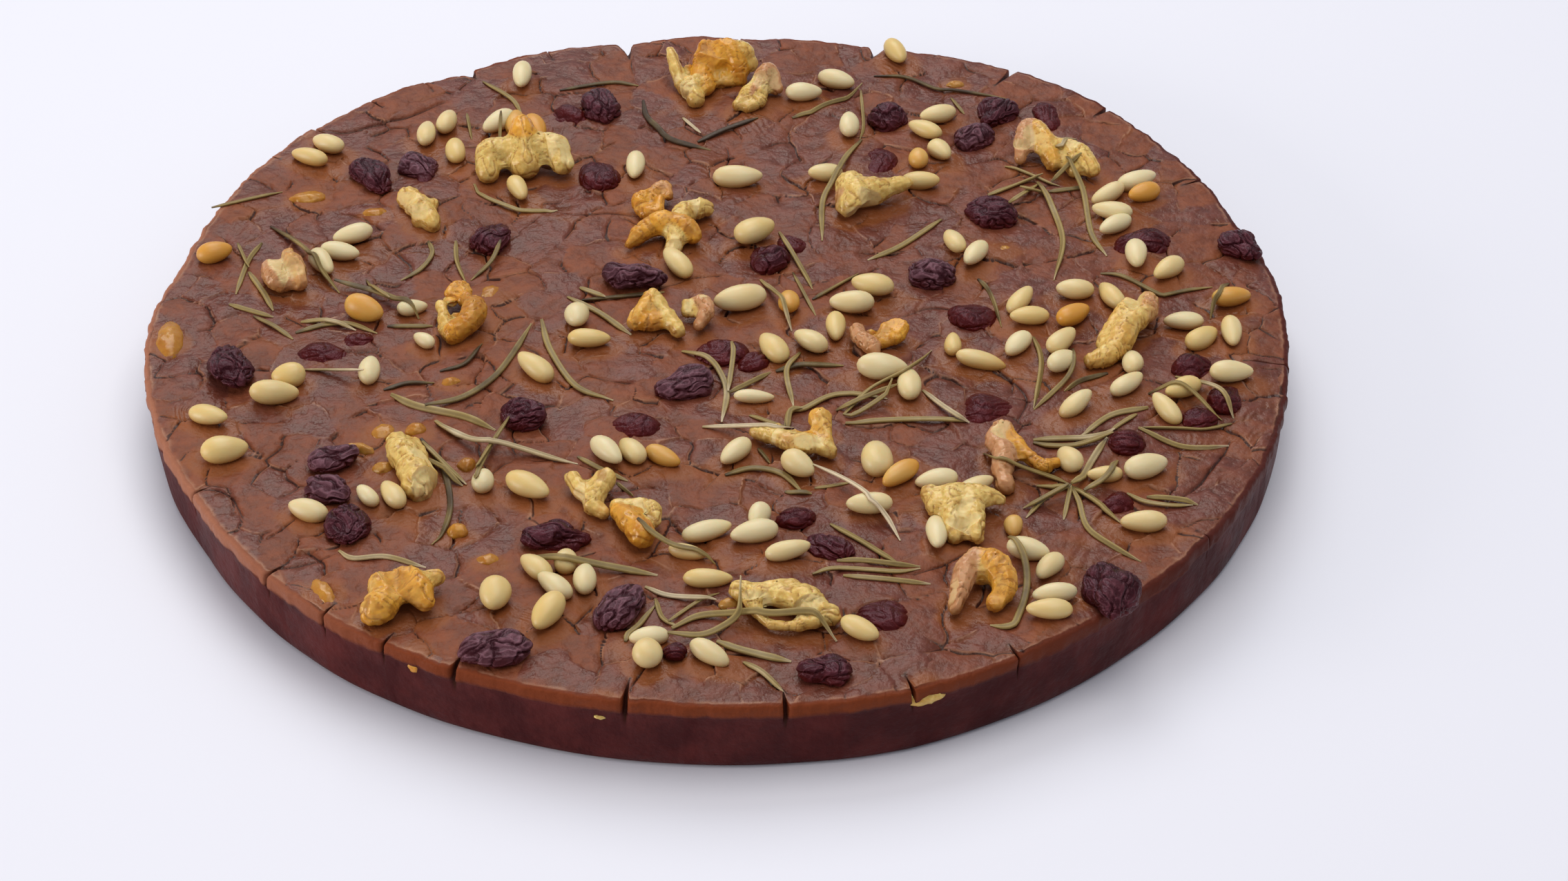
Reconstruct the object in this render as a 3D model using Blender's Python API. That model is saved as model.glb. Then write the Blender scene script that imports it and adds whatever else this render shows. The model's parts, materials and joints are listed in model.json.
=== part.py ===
"""Chestnut cake: a low round cake of chestnut flour with an uneven, cracked rim.

Raisins and walnut pieces are pressed into the top crust. The cake is one solid
and every raisin and walnut piece is a solid of its own, lying in a socket that
the dough has closed round it. Units are metres, +Z is up, and the origin is the
centre of the underside.
"""

import math

import bmesh
import bpy
from mathutils import Matrix, Vector

MM = 0.001

# Driving dimensions of the cake.
HEIGHT = 18 * MM
CRACK_REACH = 7 * MM
LIP = 0.8 * MM
FOOT_INSET = 2.5 * MM
SOCKET_GAP = 0.3 * MM

# Degrees between points of the rim, and from a crack's lip to the next point.
OUTLINE_STEP = 5.0
OUTLINE_CLEARANCE = 0.5

# The rim from above: azimuth in degrees from +X, radius in mm.
RIM = (
    (-150, 128.7), (-130, 130.2), (-104, 130.2), (-83, 131.3), (-72, 132.1), (-48, 130.2),
    (-20, 129.2), (-3, 128.7), (14, 130.1), (26, 130.6), (34, 131.3), (43, 133.4),
    (52, 133.4), (64, 130.6), (74, 127.9), (87, 126.7), (93, 129.4), (101, 127.2),
    (108, 129.2), (121, 129.2), (127, 131.3), (140, 132.0), (151, 131.3), (163, 129.1),
    (170, 128.7), (178, 130.7),
)

# Radial cracks that open at the rim: azimuth in degrees, mouth and depth in mm.
RIM_CRACKS = (
    (-151.4, 1.0, 3.0), (-136.5, 1.2, 4.0), (-121.5, 1.0, 3.0), (-114.0, 3.0, 5.0),
    (-97.8, 2.5, 9.0), (-83.5, 2.0, 6.0), (-72.1, 1.4, 5.0), (-61.6, 0.8, 6.0),
    (-36.2, 1.2, 5.0), (-6.5, 0.9, 9.0), (28.1, 1.0, 4.0), (44.6, 1.5, 4.0),
    (55.4, 2.5, 9.0), (72.6, 5.0, 5.0), (101.9, 3.2, 6.5), (120.3, 4.0, 3.0),
    (140.3, 1.5, 7.0),
)

# Levels of the side: height, inset from the rim and how far the rim cracks reach, 0 to 1.
SIDE_LEVELS = (
    (0.0, FOOT_INSET, 0.0),
    (1.5 * MM, 1.2 * MM, 0.0),
    (HEIGHT - CRACK_REACH, 0.6 * MM, 0.0),
    (HEIGHT - LIP, 0.0, 1.0),
    (HEIGHT, LIP, 1.0),
)

# Long cracks in the top crust: width and depth in mm, then points on the top in mm.
TOP_CRACKS = (
    (1.1, 2.0, ((-101, 84), (-95, 82.5), (-89, 84.5), (-82, 88), (-76, 91.5), (-70, 97))),
    (0.9, 1.8, ((112, -43), (110, -48), (107, -53), (104, -58), (100, -62))),
    (0.8, 1.5, ((57, -13), (62, -16), (67, -22), (68.5, -28), (66.5, -35))),
    (0.7, 1.4, ((42, -88), (47, -86), (51, -83.5), (55, -81))),
    (0.6, 1.2, ((-38, 46.5), (-32, 46), (-26, 46.5), (-20, 45.5))),
)

# Raisins: place on the top, length, width (mm), turn (degrees) and height over the crust (mm).
RAISINS = (
    (-85, 61, 17, 9, -60, 4.5), (-73.5, 65, 12, 10, -50, 4.0), (-31, 91.5, 15, 10, -70, 5.0),
    (40, 88, 12, 10, -35, 4.0), (37, 68, 13, 9, 80, 2.2), (-30, 62, 12, 10, 90, 2.8),
    (67, 90, 12, 9, 60, 4.2), (60.5, 79, 11, 10, 45, 3.6), (64, 45, 13, 10, -20, 4.5),
    (-109, -18.5, 17, 10, -65, 6.0), (-90, -11, 11, 9, 10, 1.8), (-55, 35, 12, 10, 60, 4.0),
    (-20, 18, 16, 10, -15, 6.0), (11, 27, 11, 8, 25, 3.0), (-7.5, -23.5, 15, 9, 25, 4.5),
    (0, -10.5, 11, 8, 0, 2.2), (-18, -38, 11, 9, 5, 1.8), (-43.5, -35, 11, 11, 40, 5.2),
    (48.5, 19.5, 12, 10, -15, 4.5), (57.5, 3.5, 11, 9, 20, 2.4), (99, 33, 13, 9, 10, 2.8),
    (121.5, 31, 13, 9, -50, 5.0), (59, -31.5, 14, 11, 15, 2.4), (-83.5, -51, 12, 9, 35, 4.8),
    (-83, -61.5, 12, 8, -30, 4.4), (-78, -74, 14, 9, -80, 5.2), (-44, -115, 16, 10, 10, 5.2),
    (-33.5, -78, 16, 9, 5, 4.6), (-19.5, -101.5, 16, 10, 60, 5.0), (22.5, -120.5, 11, 9, 0, 4.2),
    (24.5, -80.5, 12, 9, -35, 3.4), (34, -102, 12, 10, 0, 1.8), (82, -96, 19, 12, -85, 6.0),
)
RAISIN_THICKNESS = 0.78
RED_RAISIN_UNDER = 3.0 * MM

# Walnut pieces as fleshy ribs that run into each other. A rib is a path of
# points, each (x, y, height over the crust, radius) in mm.
WALNUTS = (
    (
        ((-14, 110, 6.5, 1.3), (-12.5, 105, 3.5, 1.9), (-11, 100.5, 1, 1.5), (-8.5, 98, 1, 2)),
        ((-5, 108.5, 8, 2.6), (-4.5, 104, 4.5, 3.2), (-6.5, 99, 2.2, 2.7), (-7.5, 95, 1.2, 2.6)),
        ((4.5, 108.5, 7, 2.5), (0.5, 107, 7.5, 3), (-2.5, 103.5, 4, 2.8)),
    ),
    (
        ((11, 101.5, 5.5, 2.6), (8, 97.5, 3.5, 2.8), (4.5, 95, 1.6, 1.7)),
        ((4.5, 95.5, 1.8, 1.8), (3.5, 91.8, 1.2, 1.6), (7, 90.8, 1.4, 1.6)),
    ),
    (
        ((-49, 72, 8.5, 2.9), (-48.5, 68, 6, 3.6), (-48, 63.5, 2, 4)),
        ((-53, 68, 4.5, 2.4), (-57.5, 65.5, 3.6, 3), (-57.5, 60, 1.6, 2.8)),
        ((-45, 69.5, 5, 2.4), (-40.5, 67.5, 4.6, 3.2), (-38, 61.5, 1.8, 2.6)),
    ),
    (
        ((-75, 49.5, 2, 2.8), (-73, 46, 2.6, 2.7), (-70, 41.5, 1.6, 2), (-68.5, 38.5, 1, 1.5)),
        ((-68.5, 46.5, 1.6, 1.3), (-72, 44, 1.4, 1.6), (-75, 40, 0.8, 1.5)),
    ),
    (
        ((-17.5, 50, 2.6, 1.7), (-20.5, 48, 2, 2), (-19, 44.2, 1.4, 2), (-15.6, 44.2, 2, 1.6)),
        ((-13, 50, 2, 1.3), (-14, 52.6, 3.2, 1.4), (-16.6, 51.2, 3.2, 1.6), (-17.6, 49, 2.6, 1.5)),
    ),
    (
        ((-21.5, 31.5, 1.2, 1.6), (-20, 35, 3, 2.2), (-15, 36.6, 4.4, 2.7), (-8.5, 34, 2.2, 1.9)),
        ((-14, 35, 3.6, 2.4), (-12.5, 30.5, 1.8, 2.3), (-11.3, 28.8, 1.2, 1.8)),
        ((-11, 36, 2.4, 2.2), (-8, 42.5, 2.4, 2.7), (-5.5, 45.5, 2, 2)),
    ),
    (
        ((30, 54, 3, 2.3), (31.5, 49.5, 3.4, 4.4), (28.5, 44, 1.4, 2.8)),
        ((33, 49.5, 3.2, 3.6), (38.5, 51.5, 3.8, 2.6), (43, 53, 3.6, 1.6)),
    ),
    (
        ((72, 67.5, 1.6, 1.7), (72.5, 71.5, 4, 2.4), (74.5, 76, 5.2, 2)),
        ((75, 75.5, 5, 2), (78.5, 70.5, 3.6, 3), (80, 66, 1.6, 2.4)),
        ((81, 69, 3.4, 2.1), (86, 66.5, 3.6, 2.7), (88.5, 61.5, 2, 2.2)),
    ),
    (
        ((-105, 19, 2.2, 3), (-103.4, 15.8, 2.2, 3.2)),
        ((-100.6, 23.6, 4.2, 1.1), (-100.4, 19.5, 3.4, 3), (-97.6, 14.8, 1.4, 2.2)),
    ),
    (
        ((-62.5, 8, 2.4, 1.3), (-61, 10.8, 3, 1.4), (-58.5, 9, 2.8, 1.9), (-58, 5, 3, 2.1)),
        ((-58, 5.5, 3, 2), (-56, 1.5, 3.6, 2.7), (-57, -3, 3, 3), (-61, -5.5, 1.4, 2.4)),
        ((-64, 4, 2.4, 1.2), (-63, 0, 2.2, 1.5), (-62, -4, 1.4, 1.8)),
    ),
    (
        ((-15.5, 5.5, 4.2, 2), (-17.5, 1.5, 3, 2.3), (-19.6, -1.8, 1.4, 2.1)),
        ((-15.5, 5.5, 4.2, 1.9), (-13.4, 1, 2.6, 2), (-10.4, -4, 1.2, 1.7)),
    ),
    (
        ((-7.4, 4.4, 2, 1.3), (-4.6, 5, 3, 1.7), (-3, 1, 2.8, 1.8), (-4.8, -2.2, 1.2, 1.5)),
    ),
    (
        ((31, -5, 2, 1.9), (31.8, -8.5, 2.4, 1.9), (34.2, -11.2, 1.8, 2), (35, -13.2, 1, 1.6)),
        ((33, -8, 1.2, 1.4), (37.4, -8, 1.2, 1.4), (38.4, -4.8, 2.4, 1.7), (41, -5.4, 2.2, 1.9)),
    ),
    (
        ((8, -42.4, 0.8, 1.4), (12.5, -45, 2, 2), (16.5, -47.6, 2.4, 2.3), (24, -49.4, 1.2, 1.8)),
        ((22.3, -40.5, 3.6, 2.3), (23.4, -44.5, 2.8, 1.7), (22.4, -48.4, 1.8, 1.7)),
    ),
    (
        ((98, 6, 3, 2), (97, 0, 3.6, 2), (92, -6.4, 3.6, 2.6), (87, -14.6, 2, 2.2)),
        ((93.6, 3, 3.4, 2), (91.8, -1.2, 3.6, 2.4), (88.2, -7.4, 2.6, 2.3), (88, -12, 2, 1.8)),
    ),
    (
        ((62, -45, 3.4, 2.9), (61, -49.5, 3, 2.9), (62, -56, 2.2, 2.6), (62, -61, 1, 2.1)),
        ((64, -46.5, 3, 2.3), (66, -51, 2.4, 1.8), (70, -54.4, 1.2, 1.6), (73.4, -53, 1, 1.5)),
    ),
    (
        ((-71, -48, 2.2, 2.4), (-69, -52, 2.4, 3.2), (-65.6, -58.5, 2, 3.8), (-62.4, -63.6, 1, 2.2)),
    ),
    (
        ((-68.5, -97.4, 2.8, 3.2), (-67, -101, 2.8, 3.8), (-70, -104, 1.4, 2.6)),
        ((-67, -98.5, 2.6, 3), (-62.6, -96.4, 3, 3.3), (-59.8, -101.4, 1.8, 2.5)),
        ((-61.5, -96, 2.6, 2.2), (-57.5, -94, 2.4, 1.7)),
    ),
    (
        ((-31, -60.6, 2.6, 2), (-29, -64, 2.2, 2.1), (-26.6, -67.4, 1.6, 2.2), (-24, -70.4, 1, 1.6)),
        ((-24, -61.8, 3.6, 2.5), (-25.4, -65.5, 2.4, 2.5), (-26.4, -67.2, 1.6, 2)),
    ),
    (
        ((-20, -70, 2, 1.7), (-17, -70, 2.6, 2), (-13.6, -71, 2.6, 2), (-13, -74.6, 1.8, 1.6)),
        ((-19.6, -71, 2, 2), (-18, -75.4, 2.4, 2.8), (-15.6, -79.4, 2, 3)),
    ),
    (
        ((4, -97, 2, 1.7), (8.4, -99.4, 2.4, 2.2), (8.4, -104.4, 1.2, 1.7)),
        ((8.4, -99.4, 2.4, 2.1), (13, -98.6, 2.8, 2.5), (18.6, -101.2, 2.6, 2.3), (25, -104, 1.4, 1.8)),
        ((17.8, -101.6, 2.4, 2), (18.8, -107, 1.2, 1.8), (22.6, -107.4, 1, 1.4)),
    ),
    (
        ((45.6, -67, 2.8, 2.2), (50, -67, 3.4, 2.6), (54, -67, 3.4, 2.5), (60, -67.4, 2, 1.5)),
        ((50, -67.4, 3.4, 2.4), (50.4, -72, 3, 2.2), (51, -79, 1.2, 1.7)),
        ((54, -67.4, 3.4, 2.4), (54.4, -72, 3, 2), (54.8, -79.4, 1.2, 1.6)),
    ),
    (
        ((55, -89, 4, 2.2), (52, -93.5, 3.4, 2.3), (50.5, -98.5, 2.4, 1.9), (49.6, -102.4, 1, 1.6)),
        ((56, -89.4, 4, 2.4), (59, -93, 3.4, 2.8), (58.6, -97.5, 2.4, 2.2), (57.2, -101, 1.2, 1.9)),
    ),
)
RIB_SIDES = 5
RIB_TIP = 0.7
# A five-sided rib this much wider holds as much as a round one.
RIB_FULLNESS = 1.15


def material(name, colour, roughness):
    """A plain food surface: base colour and roughness, never metallic."""
    made = bpy.data.materials.new(name)
    made.use_nodes = True
    shader = made.node_tree.nodes["Principled BSDF"]
    shader.inputs["Base Color"].default_value = (*colour, 1.0)
    shader.inputs["Roughness"].default_value = roughness
    shader.inputs["Metallic"].default_value = 0.0
    return made


def solid(name, mesh_in_progress, finish):
    """A named object made of a closed bmesh, in the scene's own collection."""
    bmesh.ops.recalc_face_normals(mesh_in_progress, faces=mesh_in_progress.faces)
    if mesh_in_progress.calc_volume(signed=True) < 0:
        bmesh.ops.reverse_faces(mesh_in_progress, faces=mesh_in_progress.faces)
    mesh = bpy.data.meshes.new(name)
    mesh_in_progress.to_mesh(mesh)
    mesh_in_progress.free()
    piece = bpy.data.objects.new(name, mesh)
    if finish:
        mesh.materials.append(finish)
    bpy.context.scene.collection.objects.link(piece)
    return piece


def combine(piece, others, operation):
    """Joins or cuts a piece with others by exact Booleans, and removes the others."""
    group = bpy.data.collections.new("operands")
    bpy.context.scene.collection.children.link(group)
    for other in others:
        other.hide_render = True
        other.display_type = "WIRE"
        bpy.context.scene.collection.objects.unlink(other)
        group.objects.link(other)
    step = piece.modifiers.new(operation.lower(), "BOOLEAN")
    step.operation = operation
    step.solver = "EXACT"
    step.operand_type = "COLLECTION"
    step.collection = group
    graph = bpy.context.evaluated_depsgraph_get()
    result = bpy.data.meshes.new_from_object(piece.evaluated_get(graph))
    piece.modifiers.clear()
    piece.data = result
    for other in others:
        bpy.data.objects.remove(other)
    bpy.data.collections.remove(group)


def rim_radius(azimuth):
    """Radius of the rim in metres, eased between the rim's points."""
    first = RIM[0][0]
    turn = (azimuth - first) % 360 + first
    points = [*RIM, (first + 360, RIM[0][1])]
    for (low, inner), (high, outer) in zip(points, points[1:]):
        if turn <= high:
            share = (1 - math.cos(math.pi * (turn - low) / (high - low))) / 2
            return (inner + (outer - inner) * share) * MM
    return points[-1][1] * MM


def outline():
    """The rim from above as (azimuth, radius, crack depth there), with three points a crack."""
    points = []
    mouths = []
    for azimuth, mouth, depth in RIM_CRACKS:
        radius = rim_radius(azimuth)
        half = math.degrees(mouth * MM / 2 / radius)
        mouths.append((azimuth, half))
        points += [(azimuth - half, radius, 0.0), (azimuth + half, radius, 0.0)]
        points.append((azimuth, radius, depth * MM))
    for count in range(round(360 / OUTLINE_STEP)):
        azimuth = -180 + count * OUTLINE_STEP
        if all(abs(azimuth - place) > half + OUTLINE_CLEARANCE for place, half in mouths):
            points.append((azimuth, rim_radius(azimuth), 0.0))
    return sorted(points)


def loft(rings):
    """A closed bmesh through rings of points, with a flat face at each end."""
    made = bmesh.new()
    loops = [[made.verts.new(point) for point in ring] for ring in rings]
    for low, high in zip(loops, loops[1:]):
        for index in range(len(low)):
            after = (index + 1) % len(low)
            made.faces.new((low[index], low[after], high[after], high[index]))
    made.faces.new(list(reversed(loops[0])))
    made.faces.new(loops[-1])
    return made


def cake_body(finish):
    """The dough: a disc whose wall leans out a little from the foot to the crust."""
    rings = []
    for height, inset, reach in SIDE_LEVELS:
        ring = []
        for azimuth, radius, depth in outline():
            angle = math.radians(azimuth)
            out = radius - inset - depth * reach
            ring.append((out * math.cos(angle), out * math.sin(angle), height))
        rings.append(ring)
    return solid("cake", loft(rings), finish)


def crack_cutter(width, depth, path):
    """A wedge along a path, widest in its middle and closed to a point at both ends."""
    made = bmesh.new()
    points = [Vector((x * MM, y * MM, HEIGHT)) for x, y in path]
    lift = Vector((0, 0, 1 * MM))
    rows = []
    for before, point, after in zip(points, points[1:], points[2:]):
        along = (after - before).normalized()
        side = Vector((-along.y, along.x, 0)) * width * MM
        root = point - Vector((0, 0, depth * MM))
        wedge = (point + lift - side, root, point + lift + side)
        rows.append([made.verts.new(place) for place in wedge])
    tips = [made.verts.new(points[0] + lift), made.verts.new(points[-1] + lift)]
    for low, high in zip(rows, rows[1:]):
        for index in range(3):
            after = (index + 1) % 3
            made.faces.new((low[index], low[after], high[after], high[index]))
    for tip, row in zip(tips, (rows[0], rows[-1])):
        for index in range(3):
            made.faces.new((tip, row[index], row[(index + 1) % 3]))
    return solid("crack", made, None)


def raisin(name, row, order, finish, grow=0.0):
    """A shrivelled ellipsoid whose folds run along it, partly sunk in the crust."""
    x, y, length, width, turn, rise = row
    half = Vector((length / 2, width / 2, width * RAISIN_THICKNESS / 2)) * MM
    made = bmesh.new()
    bmesh.ops.create_icosphere(made, subdivisions=2, radius=1.0)
    for vert in made.verts:
        spot = vert.co
        around = math.atan2(spot.z, spot.y)
        fold = math.sin(4 * around + order + 1.6 * spot.x) * (1 - spot.x**2)
        swell = 1 + 0.07 * fold + 0.04 * math.sin(5 * spot.x + 2 * order)
        vert.co = Vector((spot.x * half.x, spot.y * half.y, spot.z * half.z)) * swell
        vert.co += vert.normal * grow
    tilt = Matrix.Rotation(math.radians(4) * math.sin(2.3 * order), 4, "Y")
    spin = Matrix.Rotation(math.radians(turn), 4, "Z")
    middle = Vector((x * MM, y * MM, HEIGHT + rise * MM - half.z))
    made.transform(Matrix.Translation(middle) @ spin @ tilt)
    return solid(name, made, finish)


def rib(path, order, finish, grow=0.0):
    """One fleshy rib of walnut: a bead of uneven radius along a path."""
    points = [Vector((x * MM, y * MM, HEIGHT + height * MM)) for x, y, height, _ in path]
    radii = [radius * MM * RIB_FULLNESS + grow for *_, radius in path]
    made = bmesh.new()
    loops = []
    for index, point in enumerate(points):
        along = points[min(index + 1, len(points) - 1)] - points[max(index - 1, 0)]
        along.normalize()
        side = along.cross(Vector((0, 0, 1))).normalized()
        over = side.cross(along)
        loop = []
        for step in range(RIB_SIDES):
            angle = math.tau * (step + 0.37 * order) / RIB_SIDES
            reach = side * math.cos(angle) + over * math.sin(angle)
            loop.append(made.verts.new(point + reach * radii[index]))
        loops.append(loop)
    for low, high in zip(loops, loops[1:]):
        for index in range(RIB_SIDES):
            after = (index + 1) % RIB_SIDES
            made.faces.new((low[index], low[after], high[after], high[index]))
    near_end = (points[0], points[1], radii[0], loops[0])
    far_end = (points[-1], points[-2], radii[-1], loops[-1])
    for end, inner, radius, loop in (near_end, far_end):
        tip = made.verts.new(end + (end - inner).normalized() * radius * RIB_TIP)
        for index in range(RIB_SIDES):
            made.faces.new((tip, loop[index], loop[(index + 1) % RIB_SIDES]))
    return solid("rib", made, finish)


def walnut(name, paths, finish):
    """A broken piece of walnut: its ribs joined into one solid."""
    ribs = [rib(path, order, finish) for order, path in enumerate(paths)]
    piece = ribs[0]
    piece.name = name
    if ribs[1:]:
        combine(piece, ribs[1:], "UNION")
    return piece


def build():
    """The cake, its raisins and its walnut pieces, then the sockets and cracks in the crust."""
    crust = material("crust", (0.16, 0.055, 0.03), 0.5)
    dark_skin = material("raisin skin", (0.02, 0.01, 0.014), 0.4)
    red_skin = material("sunk raisin skin", (0.09, 0.018, 0.02), 0.45)
    kernel = material("walnut kernel", (0.72, 0.5, 0.2), 0.55)
    cake = cake_body(crust)
    cutters = [crack_cutter(*crack) for crack in TOP_CRACKS]
    for order, row in enumerate(RAISINS, 1):
        skin = red_skin if row[5] * MM < RED_RAISIN_UNDER else dark_skin
        raisin(f"raisin_{order:02}", row, order, skin)
        cutters.append(raisin("socket", row, order, None, SOCKET_GAP))
    for order, paths in enumerate(WALNUTS, 1):
        walnut(f"walnut_{order:02}", paths, kernel)
        cutters += [rib(path, turn, None, SOCKET_GAP) for turn, path in enumerate(paths)]
    combine(cake, cutters, "DIFFERENCE")


for leftover in list(bpy.data.objects):
    bpy.data.objects.remove(leftover)
build()
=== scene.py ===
"""Chestnut cake, 26 cm across: crust, raisins, walnut pieces, pine nuts and rosemary."""

import json
import math

import bmesh
import bpy
import numpy as np
from mathutils import Matrix, Vector
from mathutils.bvhtree import BVHTree
from mathutils.geometry import delaunay_2d_cdt
from mathutils.kdtree import KDTree

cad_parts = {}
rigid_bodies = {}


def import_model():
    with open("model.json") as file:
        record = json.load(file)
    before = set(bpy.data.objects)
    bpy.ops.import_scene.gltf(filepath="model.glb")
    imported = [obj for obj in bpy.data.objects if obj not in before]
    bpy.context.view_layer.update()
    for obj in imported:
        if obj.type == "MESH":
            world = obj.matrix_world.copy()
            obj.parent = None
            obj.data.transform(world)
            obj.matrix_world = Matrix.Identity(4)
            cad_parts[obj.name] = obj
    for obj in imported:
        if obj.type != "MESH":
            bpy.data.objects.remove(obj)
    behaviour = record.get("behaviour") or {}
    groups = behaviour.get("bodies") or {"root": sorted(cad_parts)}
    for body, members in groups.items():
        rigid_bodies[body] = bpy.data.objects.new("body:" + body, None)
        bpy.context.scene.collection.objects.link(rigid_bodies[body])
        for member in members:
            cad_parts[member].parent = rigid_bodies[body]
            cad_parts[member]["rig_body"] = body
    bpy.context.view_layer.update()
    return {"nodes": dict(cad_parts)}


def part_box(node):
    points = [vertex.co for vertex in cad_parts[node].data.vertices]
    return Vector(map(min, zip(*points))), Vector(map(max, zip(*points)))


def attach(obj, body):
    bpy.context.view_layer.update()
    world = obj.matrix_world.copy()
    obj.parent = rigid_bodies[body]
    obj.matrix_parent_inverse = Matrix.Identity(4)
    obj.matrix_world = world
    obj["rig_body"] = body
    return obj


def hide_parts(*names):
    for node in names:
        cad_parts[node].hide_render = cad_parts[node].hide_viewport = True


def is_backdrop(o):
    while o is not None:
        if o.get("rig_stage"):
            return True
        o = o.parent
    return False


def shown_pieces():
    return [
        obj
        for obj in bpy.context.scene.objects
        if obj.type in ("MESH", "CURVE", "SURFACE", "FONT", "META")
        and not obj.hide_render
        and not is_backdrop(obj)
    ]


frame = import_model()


# The set: a plain pale floor and a camera that looks down on the cake from the front. Large
# soft lights stand behind, above and at the left, so that the crust shines towards the
# camera and the front of the side lies in its own shadow.

MM = 0.001
LOOK_AT = Vector((0.01442, -0.04309, 0.018))
DISTANCE = 0.8185
ELEVATION = math.radians(37.24)
LENS = 85.87
FLOOR_DROP = 0.1 * MM
FLOOR_HALF = 2.5
SKY = (0.86, 0.88, 1.0)
SKY_STRENGTH = 0.44


def placed(name, data):
    """A new object in the scene."""
    made = bpy.data.objects.new(name, data)
    bpy.context.scene.collection.objects.link(made)
    return made


back = Vector((0, -math.cos(ELEVATION), math.sin(ELEVATION)))
camera = placed("camera", bpy.data.cameras.new("camera"))
camera.data.lens = LENS
camera.location = LOOK_AT + back * DISTANCE
camera.rotation_euler = back.to_track_quat("Z", "Y").to_euler()
bpy.context.scene.camera = camera
bpy.context.scene.view_settings.view_transform = "Standard"


def soft_light(name, place, size, power, tint):
    """A square soft light aimed at the middle of the cake."""
    lamp = bpy.data.lights.new(name, "AREA")
    lamp.size = size
    lamp.energy = power
    lamp.color = tint
    made = placed(name, lamp)
    made.location = place
    made.rotation_euler = Vector(place).to_track_quat("Z", "Y").to_euler()


soft_light("window", (-0.25, 1.15, 1.3), size=1.0, power=11.5, tint=(0.95, 0.97, 1.0))
soft_light("ceiling", (0.15, 0.0, 1.2), size=0.9, power=6.6, tint=(1.0, 0.97, 0.94))
soft_light("side", (-1.3, -0.45, 0.28), size=0.7, power=10, tint=(1.0, 0.94, 0.92))

world = bpy.data.worlds.new("room")
world.use_nodes = True
sky = world.node_tree.nodes["Background"].inputs
sky["Color"].default_value = (*SKY, 1)
sky["Strength"].default_value = SKY_STRENGTH
bpy.context.scene.world = world


class Field:
    """A node's output. Sums and products of fields and numbers add Math nodes."""

    def __init__(self, tree, socket):
        self.tree = tree
        self.socket = socket

    def math(self, operation, *terms):
        return self.tree.add("Math", dict(enumerate(terms)), operation=operation)

    def __add__(self, other):
        return self.math("ADD", self, other)

    def __sub__(self, other):
        return self.math("SUBTRACT", self, other)

    def __rsub__(self, other):
        return self.math("SUBTRACT", other, self)

    def __mul__(self, other):
        return self.math("MULTIPLY", self, other)

    __radd__ = __add__
    __rmul__ = __mul__

    def sine(self):
        return self.math("SINE", self)

    def above(self, low, high):
        """0 below low, 1 over high and an easy slope between."""
        sockets = {"Value": self, "From Min": low, "From Max": high}
        return self.tree.add("MapRange", sockets, interpolation_type="SMOOTHSTEP")


class Tree:
    """A node tree that is built one node at a time."""

    def __init__(self, nodes):
        self.nodes = nodes

    def set(self, node, sockets):
        """Links a field to a socket, or writes a plain value on it."""
        for key, value in sockets.items():
            socket = node.inputs[key]
            if isinstance(value, Field):
                self.nodes.links.new(value.socket, socket)
            else:
                wants_alpha = socket.type == "RGBA" and len(value) == 3
                socket.default_value = (*value, 1) if wants_alpha else value

    def add(self, kind, sockets=None, output=0, **settings):
        """Any node: its settings first, then its sockets' values or links."""
        own = kind.startswith(("GeometryNode", "FunctionNode"))
        node = self.nodes.nodes.new(kind if own else "ShaderNode" + kind)
        for name, value in settings.items():
            setattr(node, name, value)
        self.set(node, sockets or {})
        return Field(self, node.outputs[output])


class Finish(Tree):
    """A procedural material, whose nodes end in its one shader."""

    def __init__(self, name, **sockets):
        self.material = bpy.data.materials.new(name)
        self.material.use_nodes = True
        super().__init__(self.material.node_tree)
        self.shader = self.nodes.nodes["Principled BSDF"]
        self.place = self.add("TexCoord", output="Object")
        self.set(self.shader, {key.replace("_", " "): value for key, value in sockets.items()})

    def noise(self, size, detail=2.0, roughness=0.5):
        """Cloudy noise, 0 to 1, whose patches are about as large as size in mm."""
        sockets = {"Vector": self.place, "Scale": 0.5 / (size * MM), "Detail": detail}
        return self.add("TexNoise", {**sockets, "Roughness": roughness}, output="Fac")

    def attribute(self, name):
        return self.add("Attribute", output="Fac", attribute_name=name)

    def along(self, axis):
        """The place's own X, Y or Z in metres."""
        return self.add("SeparateXYZ", {"Vector": self.place}, output=axis)

    def blend(self, share, low, high):
        """From one colour to another as share goes from 0 to 1."""
        return self.add("Mix", {0: share, 6: low, 7: high}, output=2, data_type="RGBA")

    def finish(self, colour, roughness, height, depth):
        """Links the colour, the roughness and a relief that is depth mm deep."""
        normal = self.add("Bump", {"Height": height, "Distance": depth * MM})
        self.set(self.shader, {"Base Color": colour, "Roughness": roughness, "Normal": normal})
        return self.material


def in_scene(name, mesh, material=None):
    """An object at the origin whose place is in its mesh, shaded smooth."""
    if material:
        mesh.materials.append(material)
    mesh.shade_smooth()
    return placed(name, mesh)


floor_mesh = bpy.data.meshes.new("floor")
around = ((-1, -1), (1, -1), (1, 1), (-1, 1))
corners = [(x * FLOOR_HALF, y * FLOOR_HALF, -FLOOR_DROP) for x, y in around]
floor_mesh.from_pydata(corners, [], [(0, 1, 2, 3)])
pale = Finish("floor", Base_Color=(0.80, 0.80, 0.84), Roughness=0.6)
in_scene("floor", floor_mesh, pale.material)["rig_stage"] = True


# The cake: a low disc of chestnut dough baked in a tin. Its top dried to a leathery crust
# that split into plates, and a broken crust edge runs round it over the smooth dark side
# that the tin left. Lengths in the meshes below are in mm until the mesh is made.

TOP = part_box("cake")[1].z / MM
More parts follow.
